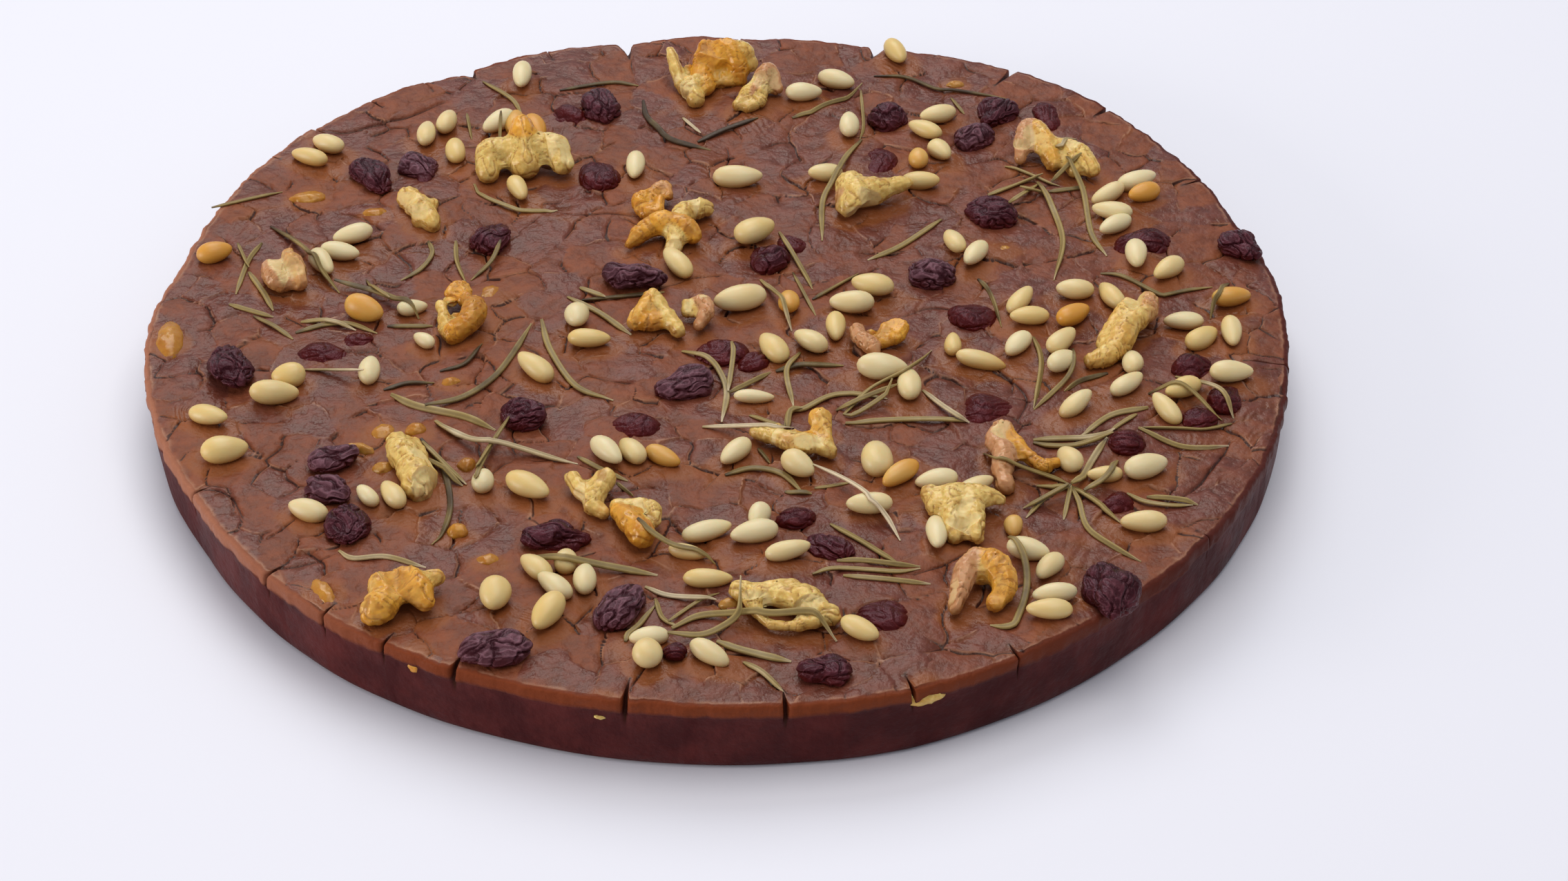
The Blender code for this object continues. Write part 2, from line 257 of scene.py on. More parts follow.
# The rim's outline: azimuth and radius.
RIM = (
    (-179, 130.7), (-150, 128.7), (-130, 130.2), (-104, 130.2), (-83, 131.3), (-72, 132.1),
    (-48, 130.2), (-20, 129.2), (-3, 128.7), (6, 130.0), (14, 130.1), (19, 128.8),
    (26, 130.6), (34, 131.3), (43, 133.4), (51, 133.5), (58, 132.6), (64, 130.6),
    (74, 127.9), (81, 127.8), (87, 126.7), (93, 129.4), (101, 127.0), (108, 129.2),
    (114, 129.7), (121, 129.2), (127, 131.3), (135, 131.9), (143, 131.9), (151, 131.3),
    (157, 130.1), (163, 129.1), (170, 128.7), (177, 130.7),
)
# Cracks that open at the rim: azimuth, mouth and depth.
RIM_CRACKS = (
    (-151.4, 1.0, 3.0), (-136.5, 1.2, 4.0), (-128.5, 0.8, 3.0), (-121.5, 1.0, 3.0),
    (-114.0, 2.2, 4.5), (-97.8, 1.9, 6.0), (-83.5, 1.6, 4.5), (-72.1, 1.0, 4.5),
    (-61.6, 0.6, 3.0), (-36.2, 0.6, 2.2), (-6.5, 0.9, 9.0), (28.1, 1.0, 4.0),
    (44.6, 1.5, 4.0), (57.0, 2.5, 8.0), (72.6, 5.0, 5.0), (88.6, 0.8, 1.6),
    (101.9, 4.4, 6.5), (110.7, 0.5, 4.0), (120.3, 4.0, 3.0), (125.6, 0.5, 4.0),
    (132.3, 0.5, 4.0), (140.3, 1.5, 7.0), (147.0, 0.6, 1.5),
)
# A crack's own outline: share of the half mouth, and share of the depth, which also sets how strong the
# painted shade in the crack is.
CRACK_OUTLINE = (
    (-1.0, 0.0), (-0.72, 0.18), (-0.4, 0.6), (0.0, 1.0), (0.3, 0.55), (0.75, 0.12), (1.0, 0.0),
)
# Long surface cracks: half width, depth and the points they run through.
LONG_CRACKS = (
    (0.45, 1.3, ((-101, 84), (-95, 82.5), (-89, 84.5), (-82, 88), (-76, 91.5), (-70, 97))),
    (0.4, 1.2, ((112, -43), (110, -48), (107, -53), (104, -58), (100, -62))),
    (0.35, 1.0, ((57, -13), (62, -16), (67, -22), (68.5, -28), (66.5, -35))),
    (0.3, 0.9, ((42, -88), (47, -86), (51, -83.5), (55, -81))),
    (0.3, 0.9, ((-38, 46.5), (-32, 46), (-26, 46.5), (-20, 45.5))),
    (0.3, 0.8, ((42, 5), (48, 8), (55, 5), (62, -4))),
    (0.25, 0.8, ((0.4, 76), (0.8, 71), (0.2, 67))),
    (0.25, 0.8, ((-95, -77), (-92, -73), (-90, -71))),
    (0.3, 0.8, ((127, -14.5), (123, -14), (118, -13.6))),
    (0.3, 0.9, ((-13, -118), (-15, -122), (-17.5, -127))),
    (0.3, 0.9, ((-112, -61), (-108, -60.5), (-104, -63), (-101, -69))),
    (0.3, 0.9, ((-93, -88), (-90, -87), (-85, -85), (-81, -83))),
    (0.3, 0.8, ((-81, -99), (-79.5, -96), (-80.5, -94))),
)
# Points of the mesh: their spacing along the rim, over the crust, off a plate's border and
# along it, and how far to each side of a border or of a long crack their rows stand.
RING_STEP = 0.75
CELL = 1.4
CLEAR = 0.55
EDGE_STEP = 0.75
EDGE_ROWS = (0.0, -0.28, 0.28, -0.85, 0.85)
LONG_ROWS = (0.0, -0.9, 0.9, -2.2, 2.2)
# How many rows the plates' honeycomb, the crust's and the net on the underside have to each
# side of the middle, and how far out their points, and those of the borders, are kept.
PLATE_ROWS = 19
CELL_ROWS = 110
NET_ROWS = 24
PLATES_TO = 142
CELLS_TO = 140
NET_TO = 122
BORDERS_TO = 150
# The crust's plates, the cracks between them and the fine folds that the drying skin made.
PLATE = 9.2
PLATE_JITTER = 0.33
PLATE_LOST = 0.16
PLATE_LEVEL = 0.06
PLATE_TILT = 0.02
CRACK_HALF = 0.21
CRACK_DEPTH = 0.7
FOLD_COUNT = 2.4
FOLD_STEP = 2.4
# Swells of the crust: height, length and seed.
SWELLS = ((0.32, 36, 31), (0.16, 13, 32), (0.05, 5, 33))
# The crust's mean level under its node's top and how much deeper it dips at the lip, how much
# higher or lower than that a plate at the rim dried, the rim's mean radius, how far the broken
# band reaches down the side, how far the foot stands in, and the underside's net of points.
CRUST_SAG = 0.25
LIP_DIP = 0.1
RIM_WARP = 0.35
RIM_MEAN = 130
BAND = 3.4
FOOT_INSET = 2.5
NET = 6.0
# The side from the lip down: depth below the top, inset, and reach of the rim cracks.
SIDE = (
    (0.14, 0.5, 1.0), (0.5, 0.12, 0.95), (1.3, 0.0, 0.8), (2.3, 0.0, 0.55),
    (BAND - 0.3, 0.05, 0.35), (BAND, 0.14, 0.3), (BAND + 0.3, 0.4, 0.25), (5.0, 0.5, 0.12),
    (7.0, 0.55, 0.0), (10.0, 0.6, 0.0), (13.5, 0.85, 0.0), (16.2, 1.2, 0.0), (17.5, 1.7, 0.0),
    (TOP, FOOT_INSET, 0.0),
)
LIP_INSET = 1.3
CRUST_FACTS = ("crack", "seam", "lip", "tone", "fold", "side", "band")
chance = np.random.default_rng(26)


def waves(points, length, seed, count=16):
    """Smooth relief of crossing waves of nearly one length, mostly between -1 and 1."""
    draw = np.random.default_rng(seed)
    heading = draw.normal(size=(points.shape[1], count))
    heading /= np.linalg.norm(heading, axis=0)
    pace = math.tau / (length * draw.uniform(0.75, 1.6, count))
    start = draw.uniform(0, math.tau, count)
    return np.sin(points @ heading * pace + start).sum(1) * 0.75 / math.sqrt(count / 2)


def ease(value, low, high):
    """0 at low, 1 at high and an easy slope between."""
    share = np.clip((value - low) / (high - low), 0, 1)
    return share * share * (3 - 2 * share)


def wander(points):
    """How far the plates' straight borders are pushed aside, as vectors."""
    push = [1.1 * waves(points, 14, seed) + 0.22 * waves(points, 4.5, seed + 1) for seed in (1, 3)]
    return np.stack(push, 1)


def unwander(points):
    """The points that wander takes to the given ones."""
    found = points.copy()
    for _ in range(5):
        found = points - wander(found)
    return found


def smooth_path(points, step):
    """Points a step apart on a smooth curve through the given points."""
    points = np.array(points, float)
    ends = np.vstack((2 * points[0] - points[1], points, 2 * points[-1] - points[-2]))
    made = []
    for before, start, end, after in zip(ends, ends[1:], ends[2:], ends[3:]):
        parts = max(1, math.ceil(np.linalg.norm(end - start) / step))
        share = np.arange(parts)[:, None] / parts
        bend = 2 * start + (end - before) * share
        bend = bend + (2 * before - 5 * start + 4 * end - after) * share**2
        made.append((bend + (3 * start - before - 3 * end + after) * share**3) / 2)
    return np.vstack((*made, points[-1:]))


def rim_outline():
    """The rim: azimuth in radians, radius, crack depth and painted crack shade, and the unevenness."""
    azimuths = np.array([azimuth for azimuth, _ in RIM], float)
    radii = np.array([radius for _, radius in RIM], float)
    rows = []
    taken = []
    for azimuth, mouth, depth in RIM_CRACKS:
        half = math.degrees(mouth / 2 / RIM_MEAN)
        taken.append((azimuth, half + 0.2))
        rows += [(azimuth + half * part, depth * cut, cut) for part, cut in CRACK_OUTLINE]
    for azimuth in np.arange(-180, 180, math.degrees(RING_STEP / RIM_MEAN)):
        if all(abs(azimuth - place) > gap for place, gap in taken):
            rows.append((azimuth, 0.0, 0.0))
    rows = np.array(sorted(rows))
    knots = np.concatenate((azimuths - 360, azimuths, azimuths + 360))
    radius = np.interp(rows[:, 0], knots, np.tile(radii, 3))
    angle = np.radians(rows[:, 0])
    ring = np.stack((np.cos(angle), np.sin(angle)), 1) * RIM_MEAN
    uneven = 0.16 * waves(ring, 7, 11) + 0.1 * waves(ring, 2.2, 12)
    return angle, radius + uneven, rows[:, 1], rows[:, 2], uneven


rim_angle, rim_radius, rim_cut, rim_crack_shade, rim_uneven = rim_outline()
rim_points = np.stack((np.cos(rim_angle), np.sin(rim_angle)), 1)


def rim_gap(points):
    """Distance from points on the top to the lip, crack mouths included."""
    angle = np.arctan2(points[:, 1], points[:, 0])
    knots = np.concatenate((rim_angle - math.tau, rim_angle, rim_angle + math.tau))
    edge = np.interp(angle, knots, np.tile(rim_radius - rim_cut, 3))
    return edge - np.hypot(points[:, 0], points[:, 1])


def rim_lift(points):
    """Each rim plate between two cracks dried to a height of its own."""
    turn = np.degrees(np.arctan2(points[:, 1], points[:, 0]))
    borders = np.array([azimuth for azimuth, _, _ in RIM_CRACKS])
    heights = np.random.default_rng(5).uniform(-RIM_WARP, RIM_WARP, len(borders) + 1)
    heights[-1] = heights[0]
    return heights[np.searchsorted(borders, turn)]


def honeycomb(count, step):
    """Points a step apart in staggered rows, count of them to each side of the middle."""
    reach = np.arange(-count, count + 1)
    column, row = np.meshgrid(reach, reach)
    return np.stack((column + row % 2 / 2, row * 0.866), -1).reshape(-1, 2) * step


def plate_seeds():
    """Middles of the crust's plates: a loose honeycomb with some middles left out."""
    grid = honeycomb(PLATE_ROWS, PLATE)
    grid += chance.normal(0, PLATE_JITTER * PLATE * 0.6, grid.shape)
    keep = (np.hypot(*grid.T) < PLATES_TO) & (chance.random(len(grid)) > PLATE_LOST)
    return grid[keep]


seeds = plate_seeds()
flat, _, triangles, _, _, _ = delaunay_2d_cdt([Vector(seed) for seed in seeds.tolist()], [], [], 0, 1e-5)
seeds = np.array([tuple(point) for point in flat])
split, step_up = np.zeros((2, len(seeds), len(seeds)))


def corner_of(triangle):
    """The point as far from one triangle corner as from the others."""
    (ax, ay), (bx, by), (cx, cy) = seeds[list(triangle)]
    twice = 2 * (ax * (by - cy) + bx * (cy - ay) + cx * (ay - by))
    if abs(twice) < 1e-6:
        return np.full(2, 1e3)
    a, b, c = ax**2 + ay**2, bx**2 + by**2, cx**2 + cy**2
    x = (a * (by - cy) + b * (cy - ay) + c * (ay - by)) / twice
    y = (a * (cx - bx) + b * (ax - cx) + c * (bx - ax)) / twice
    return np.array((x, y))


def plate_borders():
    """Rows of points along the plates' borders, and how open each border is."""
    corners = [corner_of(triangle) for triangle in triangles]
    sides = {}
    for corner, triangle in zip(corners, triangles):
        for index in range(3):
            pair = tuple(sorted((triangle[index], triangle[index - 1])))
            sides.setdefault(pair, []).append(corner)
    rows = []
    for (one, other), ends in sides.items():
        openness, lip, hand = chance.random(3)
        opened = min(1.0, max(0.0, openness - 0.3) / 0.45)
        split[one, other] = split[other, one] = opened
        height = (0.08 + 0.3 * lip**1.5) * (1 if hand > 0.5 else -1)
        step_up[one, other], step_up[other, one] = height, -height
        if len(ends) < 2 or max(np.hypot(*ends[0]), np.hypot(*ends[1])) > BORDERS_TO:
            continue
        length = np.linalg.norm(ends[1] - ends[0])
        across = seeds[other] - seeds[one]
        across /= np.linalg.norm(across)
        parts = max(1, round(length / EDGE_STEP))
        share = (np.arange(parts) + 0.5)[:, None] / parts
        middle = ends[0] + (ends[1] - ends[0]) * share
        strength = np.full(parts, max(opened, abs(height) * 1.6))
        rows += [np.column_stack((middle + across * off, strength)) for off in EDGE_ROWS]
    rows = np.vstack(rows)
    return unwander(rows[:, :2]), rows[:, 2]


def fade(points):
    """Plate borders come and go over the crust, and die out in its smooth patches."""
    return ease(waves(points, 17, 21) + 0.35 * waves(points, 6, 22), -1.0, 0.4)


def tree_of(places):
    """A search tree for the nearest of these places."""
    tree = KDTree(len(places))
    for index, place in enumerate(places.tolist()):
        tree.insert(place, index)
    tree.balance()
    return tree


def nearest_seeds(points, count=4):
    """Indices of the plates' middles nearest to each point."""
    tree = tree_of(np.column_stack((seeds, np.zeros(len(seeds)))))
    return np.array([[hit[1] for hit in tree.find_n((x, y, 0), count)] for x, y in points.tolist()])


def crack_line(path, step):
    """A long crack's middle line, a little pushed aside as the plates' borders are."""
    line = smooth_path(path, step)
    return line + wander(line) * 0.25


def long_cut(points, half, line):
    """How deep a long crack cuts at each point, 0 to 1, dying out at its ends."""
    low, high = line.min(0) - 3, line.max(0) + 3
    close = np.flatnonzero(((points > low) & (points < high)).all(1))
    away = np.linalg.norm(points[close, None] - line[None], axis=2)
    ends = np.linspace(0, 1, len(line))[away.argmin(1)]
    cut = np.zeros(len(points))
    cut[close] = np.exp(-((away.min(1) / half / 0.8) ** 2))
    cut[close] *= np.sin(np.pi * np.clip(ends, 0.08, 0.92)) ** 0.4
    return cut


def crust_relief(points):
    """Height of the crust in mm, and its crack, seam, lip, plate tone and place across folds."""
    moved = points + wander(points)
    near = nearest_seeds(moved)
    own = near[:, 0]
    strength = fade(points)
    tilt = np.random.default_rng(8).normal(0, PLATE_TILT, (len(seeds), 2))
    level = np.random.default_rng(9).normal(0, PLATE_LEVEL, len(seeds))
    tone = np.random.default_rng(10).random(len(seeds))[own]
    fold = FOLD_COUNT * waves(moved, 34, 14) + np.maximum(np.hypot(*moved.T) - 104, 0) / FOLD_STEP
    height = sum(rise * waves(points, length, seed) for rise, length, seed in SWELLS)
    # Each plate lies at a level of its own, a little tilted.
    height += (level[own] + ((moved - seeds[own]) * tilt[own]).sum(1)) * (0.4 + 0.6 * strength)
    # Next to another plate it is split off or steps up, and then its own rim shows as a lip.
    crack, seam, lip = np.zeros((3, len(points)))
    for other in near[:, 1:].T:
        middle = (seeds[own] + seeds[other]) / 2
        across = seeds[own] - seeds[other]
        gap = ((moved - middle) * across).sum(1) / np.linalg.norm(across, axis=1)
        opened = split[own, other] * strength
        step = step_up[own, other] * strength
        # The crack mark, which the finish turns into painted shade, runs along every border and most
        # along split ones.
        crack = np.maximum(crack, (opened + 0.2 * strength) * np.exp(-((gap / CRACK_HALF) ** 2)))
        seam = np.maximum(seam, strength * np.exp(-gap))
        height += step * np.exp(-gap / 1.1) - 0.1 * opened * np.exp(-gap / 0.8)
        # Where it steps up, its lip is marked for a painted highlight in the finish.
        lip = np.maximum(lip, np.clip(step * 4, 0, 1) * np.exp(-(((gap - 0.3) / 0.3) ** 2)))
    height -= CRACK_DEPTH * crack
    for half, depth, path in LONG_CRACKS:
        cut = long_cut(points, half, crack_line(path, 0.3))
        height -= cut * depth
        crack = np.maximum(crack, cut)
    return height, np.minimum(crack, 1), seam, lip, tone, fold


def crack_rows():
    """Rows of points on both sides of the long cracks and of the plate borders that show."""
    rows = []
    for half, _, path in LONG_CRACKS:
        line = crack_line(path, 0.6)
        along = np.gradient(line, axis=0)
        side = np.stack((-along[:, 1], along[:, 0]), 1) / np.linalg.norm(along, axis=1)[:, None]
        rows += [line + side * off * half for off in LONG_ROWS]
    borders, strength = plate_borders()
    shown = strength * (0.25 + 0.75 * fade(borders)) > 0.17
    return np.vstack((*rows, borders[shown]))


def crust_points():
    """Where the crust needs points: rows along its cracks and an even net between them."""
    rows = crack_rows()
    net = honeycomb(CELL_ROWS, CELL)
    net += np.random.default_rng(41).normal(0, 0.12, net.shape)
    half_cells = int(BORDERS_TO / CLEAR)
    last = 2 * half_cells - 1
    taken = np.zeros((last + 1, last + 1), bool)
    spot = (rows / CLEAR).astype(int) + half_cells
    for across in (-1, 0, 1):
        for along in (-1, 0, 1):
            beside = np.clip(spot + (across, along), 0, last)
            taken[beside[:, 0], beside[:, 1]] = True
    net = net[np.hypot(*net.T) < CELLS_TO]
    spot = (net / CLEAR).astype(int) + half_cells
    net = net[~taken[spot[:, 0], spot[:, 1]]]
    _, first = np.unique(np.round(rows / 0.3).astype(int), axis=0, return_index=True)
    inside = np.vstack((rows[np.sort(first)], net))
    return inside[rim_gap(inside) > LIP_INSET + 0.45]


def fill(outline, inside):
    """Triangles over a flat region. Its outline's points come first, then those inside."""
    count = len(outline)
    points = [Vector(point) for point in np.vstack((outline, inside)).tolist()]
    border = [(index, (index + 1) % count) for index in range(count)]
    _, _, faces, source, _, _ = delaunay_2d_cdt(points, border, [], 1, 1e-4)
    index = np.array([found[0] for found in source])
    return index[np.array(faces)]


def crust_finish(name, shine):
    """Leathery brown crust: glossy plates, matte dry dough, painted shade in the cracks and a painted
    highlight on the plates' lips.
    """
    made = Finish(name, Specular_IOR_Level=shine, Specular_Tint=(1.0, 0.84, 0.70))
    noise = made.noise
    facts = map(made.attribute, (*CRUST_FACTS, "stain"))
    crack, seam, lip, tone, fold, side, band, stain = facts
    fine = noise(1.6, 4, 0.6)
    patch = noise(22, 3, 0.55)
    gloss = (patch * 1.1 + tone * 0.5 + noise(5, 3) * 0.6).above(0.85, 1.3)
    matte = made.blend(fine.above(0.3, 0.7), (0.137, 0.033, 0.012), (0.228, 0.064, 0.026))
    sleek = made.blend(fine.above(0.3, 0.7), (0.094, 0.024, 0.014), (0.156, 0.044, 0.028))
    colour = made.blend(gloss, matte, sleek)
    # Warm brown patches, most of all next to toppings, and a painted highlight on the plates' lips.
    warm = (noise(9, 3, 0.6) + stain * 0.9 + seam * 0.2).above(0.55, 0.95)
    colour = made.blend(warm * 0.6, colour, (0.27, 0.083, 0.020))
    colour = made.blend((lip * (noise(3, 2) + 0.2)).above(0.2, 0.85) * 0.65, colour, (0.40, 0.20, 0.115))
    # The broken edge, with painted light making it pale at the left and painted shade making it darker
    # to the right.
    rightward = made.along("X")
    edge = made.blend(rightward.above(0.03, 0.11), (0.180, 0.038, 0.012), (0.080, 0.017, 0.012))
    edge = made.blend(rightward.above(-0.118, -0.06), (0.34, 0.135, 0.075), edge)
    colour = made.blend((band * (fine * 0.6 + 0.7)).above(0.35, 0.8), colour, edge)
    # The smooth dark side under it, and painted shade in the cracks.
    wall = made.blend(noise(6, 4, 0.6).above(0.35, 0.7), (0.052, 0.009, 0.010), (0.092, 0.017, 0.016))
    colour = made.blend(side * (1 - band), colour, wall)
    dark = (crack * (0.75 + fine * 0.5)).above(0.14, 0.65)
    colour = made.blend(dark, colour, (0.040, 0.009, 0.005))
    roughness = 0.50 - gloss * 0.2 + (fine - 0.5) * 0.35 + side * 0.18
    # Folds run in waves through some patches of the crust only.
    bend = fold * math.tau + noise(3.5, 3) * 9
    crease = (bend.sine() * 0.5 + 0.5) * (noise(9, 3) + tone * 0.15).above(0.6, 0.85) * (1 - side)
    relief = fine * 0.6 + noise(0.7, 3) * 0.2 + noise(3.2, 3) * 0.45 + crease * 0.2
    return made.finish(colour, roughness, relief, 0.8)


def give(mesh, **facts):
    """Attributes of numbers or of vectors on a mesh's corners."""
    for fact, values in facts.items():
        values = np.asarray(values, np.float32)
        vectors = values.ndim == 2
        layer = mesh.attributes.new(fact, "FLOAT_VECTOR" if vectors else "FLOAT", "POINT")
        layer.data.foreach_set("vector" if vectors else "value", values.ravel())


def as_mesh(name, corners, sides=(), links=(), **facts):
    """A mesh from corners in mm, with one attribute for each named list of values."""
    mesh = bpy.data.meshes.new(name)
    mesh.from_pydata((corners * MM).tolist(), list(links), np.asarray(sides).tolist())
    give(mesh, **facts)
    return mesh


def top_surface():
    """The crust inside the lip: places, facts and triangles. The lip's points come first."""
    lip_ring = rim_points * (rim_radius - rim_cut - LIP_INSET)[:, None]
    inside = crust_points()
    flat_top = np.vstack((lip_ring, inside))
    height, crack, seam, lip, tone, fold = crust_relief(flat_top)
    gap = np.maximum(rim_gap(flat_top) - LIP_INSET, 0)
    height = height * (0.35 + 0.65 * ease(gap, 0, 6)) - LIP_DIP * np.exp(-gap / 0.6)
    height += rim_lift(flat_top) * np.exp(-((gap / 5) ** 2))
    # A painted highlight along much of the lip of the rim.
    lip = np.maximum(lip, np.exp(-gap / 0.5) * ease(waves(flat_top, 9, 61), -1.2, 0.1))
    count = len(lip_ring)
    # Painted shade in the mouths of the rim cracks at the lip.
    crack[:count] = np.maximum(crack[:count], rim_crack_shade * 0.7)
    side = np.zeros(len(flat_top))
    band = np.exp(-gap / 1.2) * 0.5
    places = np.column_stack((flat_top, TOP - CRUST_SAG + height))
    return places, np.column_stack((crack, seam, lip, tone, fold, side, band)), fill(lip_ring, inside)


def side_rings(edge_height, tone):
    """The side from the lip down to the foot: places and facts of one ring for each level."""
    zeros = np.zeros(len(rim_angle))
    ring = rim_points * RIM_MEAN
    lift = rim_lift(rim_points)
    band = BAND + 0.25 * waves(ring, 16, 51) + 0.07 * waves(ring, 4, 52) + lift * 0.5
    places, facts = [], []
    for depth, inset, reach in SIDE:
        if depth <= BAND + 0.3:
            down = depth / BAND * band
            rest = TOP - CRUST_SAG - LIP_DIP + lift
            level = edge_height * max(0, 1 - depth) + rest * min(1, depth) - down
        else:
            share = (depth - BAND - 0.3) / (TOP - BAND - 0.3)
            level = (TOP - band - 0.3) * (1 - share)
        rough = 0.12 * waves(ring + depth, 5, 53) * (depth < BAND) + 0.1 * waves(ring, 24, 54)
        smooth = rim_radius - rim_uneven * ease(depth, BAND, BAND + 0.6)
        out = smooth - inset + rough * (depth < TOP) - rim_cut * reach
        places.append(np.column_stack((rim_points * out[:, None], level)))
        # Painted shade runs down the side under each rim crack and fades below the band.
        shade = rim_crack_shade * (1 - ease(depth, BAND, 9))
        kind = 1 - ease(depth, BAND - 1.2, BAND + 0.5)
        facts.append(np.column_stack((shade, zeros, zeros, tone, zeros, zeros + 1, zeros + kind)))
    return places, facts


def wall_faces(upper, lower, count):
    """Triangles between two rings of points, whose first indices are given."""
    this = np.arange(count)
    after = (this + 1) % count
    one = np.column_stack((upper + this, lower + this, lower + after))
    other = np.column_stack((upper + this, lower + after, upper + after))
    return np.vstack((one, other))


def underside(foot, foot_start, inside_start):
    """The flat bottom inside the foot ring, on a net of points as wide as NET."""
    reach = np.arange(-NET_ROWS, NET_ROWS + 1) * NET
    below = np.stack(np.meshgrid(reach, reach), -1).reshape(-1, 2)
    below = below[np.hypot(*below.T) < NET_TO]
    count = len(foot)
    under = fill(foot, below)
    under = np.where(under < count, under + foot_start, under - count + inside_start)
    facts = np.tile((0.0, 0.0, 0.0, 0.5, 0.0, 1.0, 0.0), (len(below), 1))
    return np.column_stack((below, np.zeros(len(below)))), facts, under[:, ::-1]


def cake_mesh():
    """The closed surface: crust, broken edge, side and underside, with its attributes."""
    count = len(rim_angle)
    top_places, top_facts, top_faces = top_surface()
    places, facts = side_rings(top_places[:count, 2], top_facts[:count, 3])
    rings = [0, *range(len(top_places), len(top_places) + count * len(SIDE), count)]
    faces = [wall_faces(upper, lower, count) for upper, lower in zip(rings, rings[1:])]
    bottom = underside(places[-1][:, :2], rings[-1], rings[-1] + count)
    places = np.vstack((top_places, *places, bottom[0]))
    facts = np.vstack((top_facts, *facts, bottom[1]))
    used, faces = np.unique(np.vstack((top_faces, *faces, bottom[2])), return_inverse=True)
    faces = faces.reshape(-1, 3)
    facts = dict(zip(CRUST_FACTS, facts[used].T))
    mesh = as_mesh("cake_looks", places[used], faces, **facts, stain=np.zeros(len(used)))
    mesh.materials.append(crust_finish("chestnut crust", shine=0.27))
    mesh.materials.append(crust_finish("chestnut wall", shine=0.10))
    wall = np.arange(len(faces)) >= len(top_faces)
    mesh.polygons.foreach_set("material_index", wall.astype(np.int32))
    return mesh


cake = in_scene("cake_looks", cake_mesh())
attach(cake, "root")
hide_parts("cake")


# Raisins: shrivelled grapes, black with a bluish bloom, pressed into the dough before it
# baked. Each takes the place of its node. Those sunk under the crust's level turned a
# reddish purple, and twelve raisins too small for a node of their own are joined in one piece.

BALL_STEPS = 6
FOLD = 3.2
FOLD_DEPTH = 0.7
SUNK = (5, 6, 11, 16, 17, 20, 21, 23, 32)
BLOOM = (2, 8, 13, 15, 19, 24, 25, 27, 29)
# A skin's colour in the creases, on the folds (where dust and a painted highlight lie) and next to the
# dough, and its roughness.
SKINS = {
    "raisin skin": ((0.022, 0.002, 0.003), (0.080, 0.020, 0.026), (0.080, 0.009, 0.007), 0.26),
    "raisin bloom": ((0.028, 0.005, 0.007), (0.155, 0.068, 0.082), (0.080, 0.011, 0.009), 0.30),
    "sunk raisin": ((0.032, 0.002, 0.002), (0.070, 0.007, 0.006), (0.082, 0.007, 0.004), 0.28),
}
# How a raisin lies: depth of its folds, its scale, its lift and the lift of the crust round it.
LOOSE = FOLD_DEPTH, (0.96, 0.96, 0.78), 0.0, -0.15
DEEP = FOLD_DEPTH * 0.5, (1.08, 1.08, 0.82), 0.35, 0.2
SMALL_SCALE = (1.06, 1.06, 0.7)
STAIN_REACH = 2.6
# Place, length, width, turn and height over the crust of the small raisins.
SMALL_RAISINS = (
    (79.5, 89, 10, 7, 90, 1.6), (-38.5, 89, 9, 8, -20, 1.8), (106, -17, 10, 8, 30, 3.0),
    (112, -29, 10, 8, 60, 3.2), (105.5, -36, 8, 6, 0, 2.2), (17, -71.5, 8, 6, 20, 2.6),
    (16.5, 33.5, 8, 6, -40, 1.6), (-8, -116, 5, 5, 0, 3.0), (89, -45, 8, 7, 0, 2.6),
    (85, -65, 8, 8, 0, 1.5), (-82, -5.5, 7, 6, 20, 1.4), (7.5, -14, 7, 6, 50, 1.6),
)


def ball(steps):
    """Corners and triangles of a round ball of radius 1."""
    made = bmesh.new()
    bmesh.ops.create_icosphere(made, subdivisions=steps, radius=1.0)
    corners = np.array([tuple(vert.co) for vert in made.verts])
    sides = np.array([[vert.index for vert in face.verts] for face in made.faces])
    made.free()
    return corners, sides


def main_axes(node):
    """A node's middle, its directions of length, width and thickness, and half sizes."""
    corners = np.array([tuple(vert.co) for vert in frame["nodes"][node].data.vertices]) / MM
    corners = np.unique(corners.round(3), axis=0)
    middle = (corners.min(0) + corners.max(0)) / 2
    _, axes = np.linalg.eigh(np.cov((corners - middle).T))
    axes = axes.T[::-1]
    axes[2] *= np.sign(axes[2][2])
    axes[0] *= np.sign(axes[0][0] + 1e-6)
    axes[1] = np.cross(axes[2], axes[0])
    return middle, axes, np.abs((corners - middle) @ axes.T).max(0)


def shrivelled(rounded, half, seed, depth=FOLD_DEPTH):
    """A raisin about its own middle: rounded folds that run along it, sharp creases between."""
    draw = np.random.default_rng(seed)
    along = rounded[:, :1]
    slim = 1 - draw.uniform(-0.1, 0.28) * (along + 1) / 2 - draw.uniform(0, 0.2) * np.abs(along) ** 3
    spots = rounded * half * np.hstack((along * 0 + 1, slim, slim))
    outward = rounded / half
    outward /= np.linalg.norm(outward, axis=1)[:, None]
    lie = spots * (0.5, 1.0, 1.0)
    lie = lie + 0.45 * np.stack([waves(spots, 4.5, seed + part) for part in range(3)], 1)
    fold = np.clip(np.abs(waves(lie, FOLD, seed + 5)) * 1.7, 0, 1) ** 0.65
    crest = 1 - np.clip(np.abs(waves(lie, FOLD * 0.55, seed + 6)) * 1.5, 0, 1)
    dent = waves(spots, 8, seed + 7)
    push = (fold - 0.75) * depth + (crest - 0.5) * 0.3 * depth + dent * 0.13 * half[1]
    return spots + outward * push[:, None], fold * 0.6 + crest * 0.4


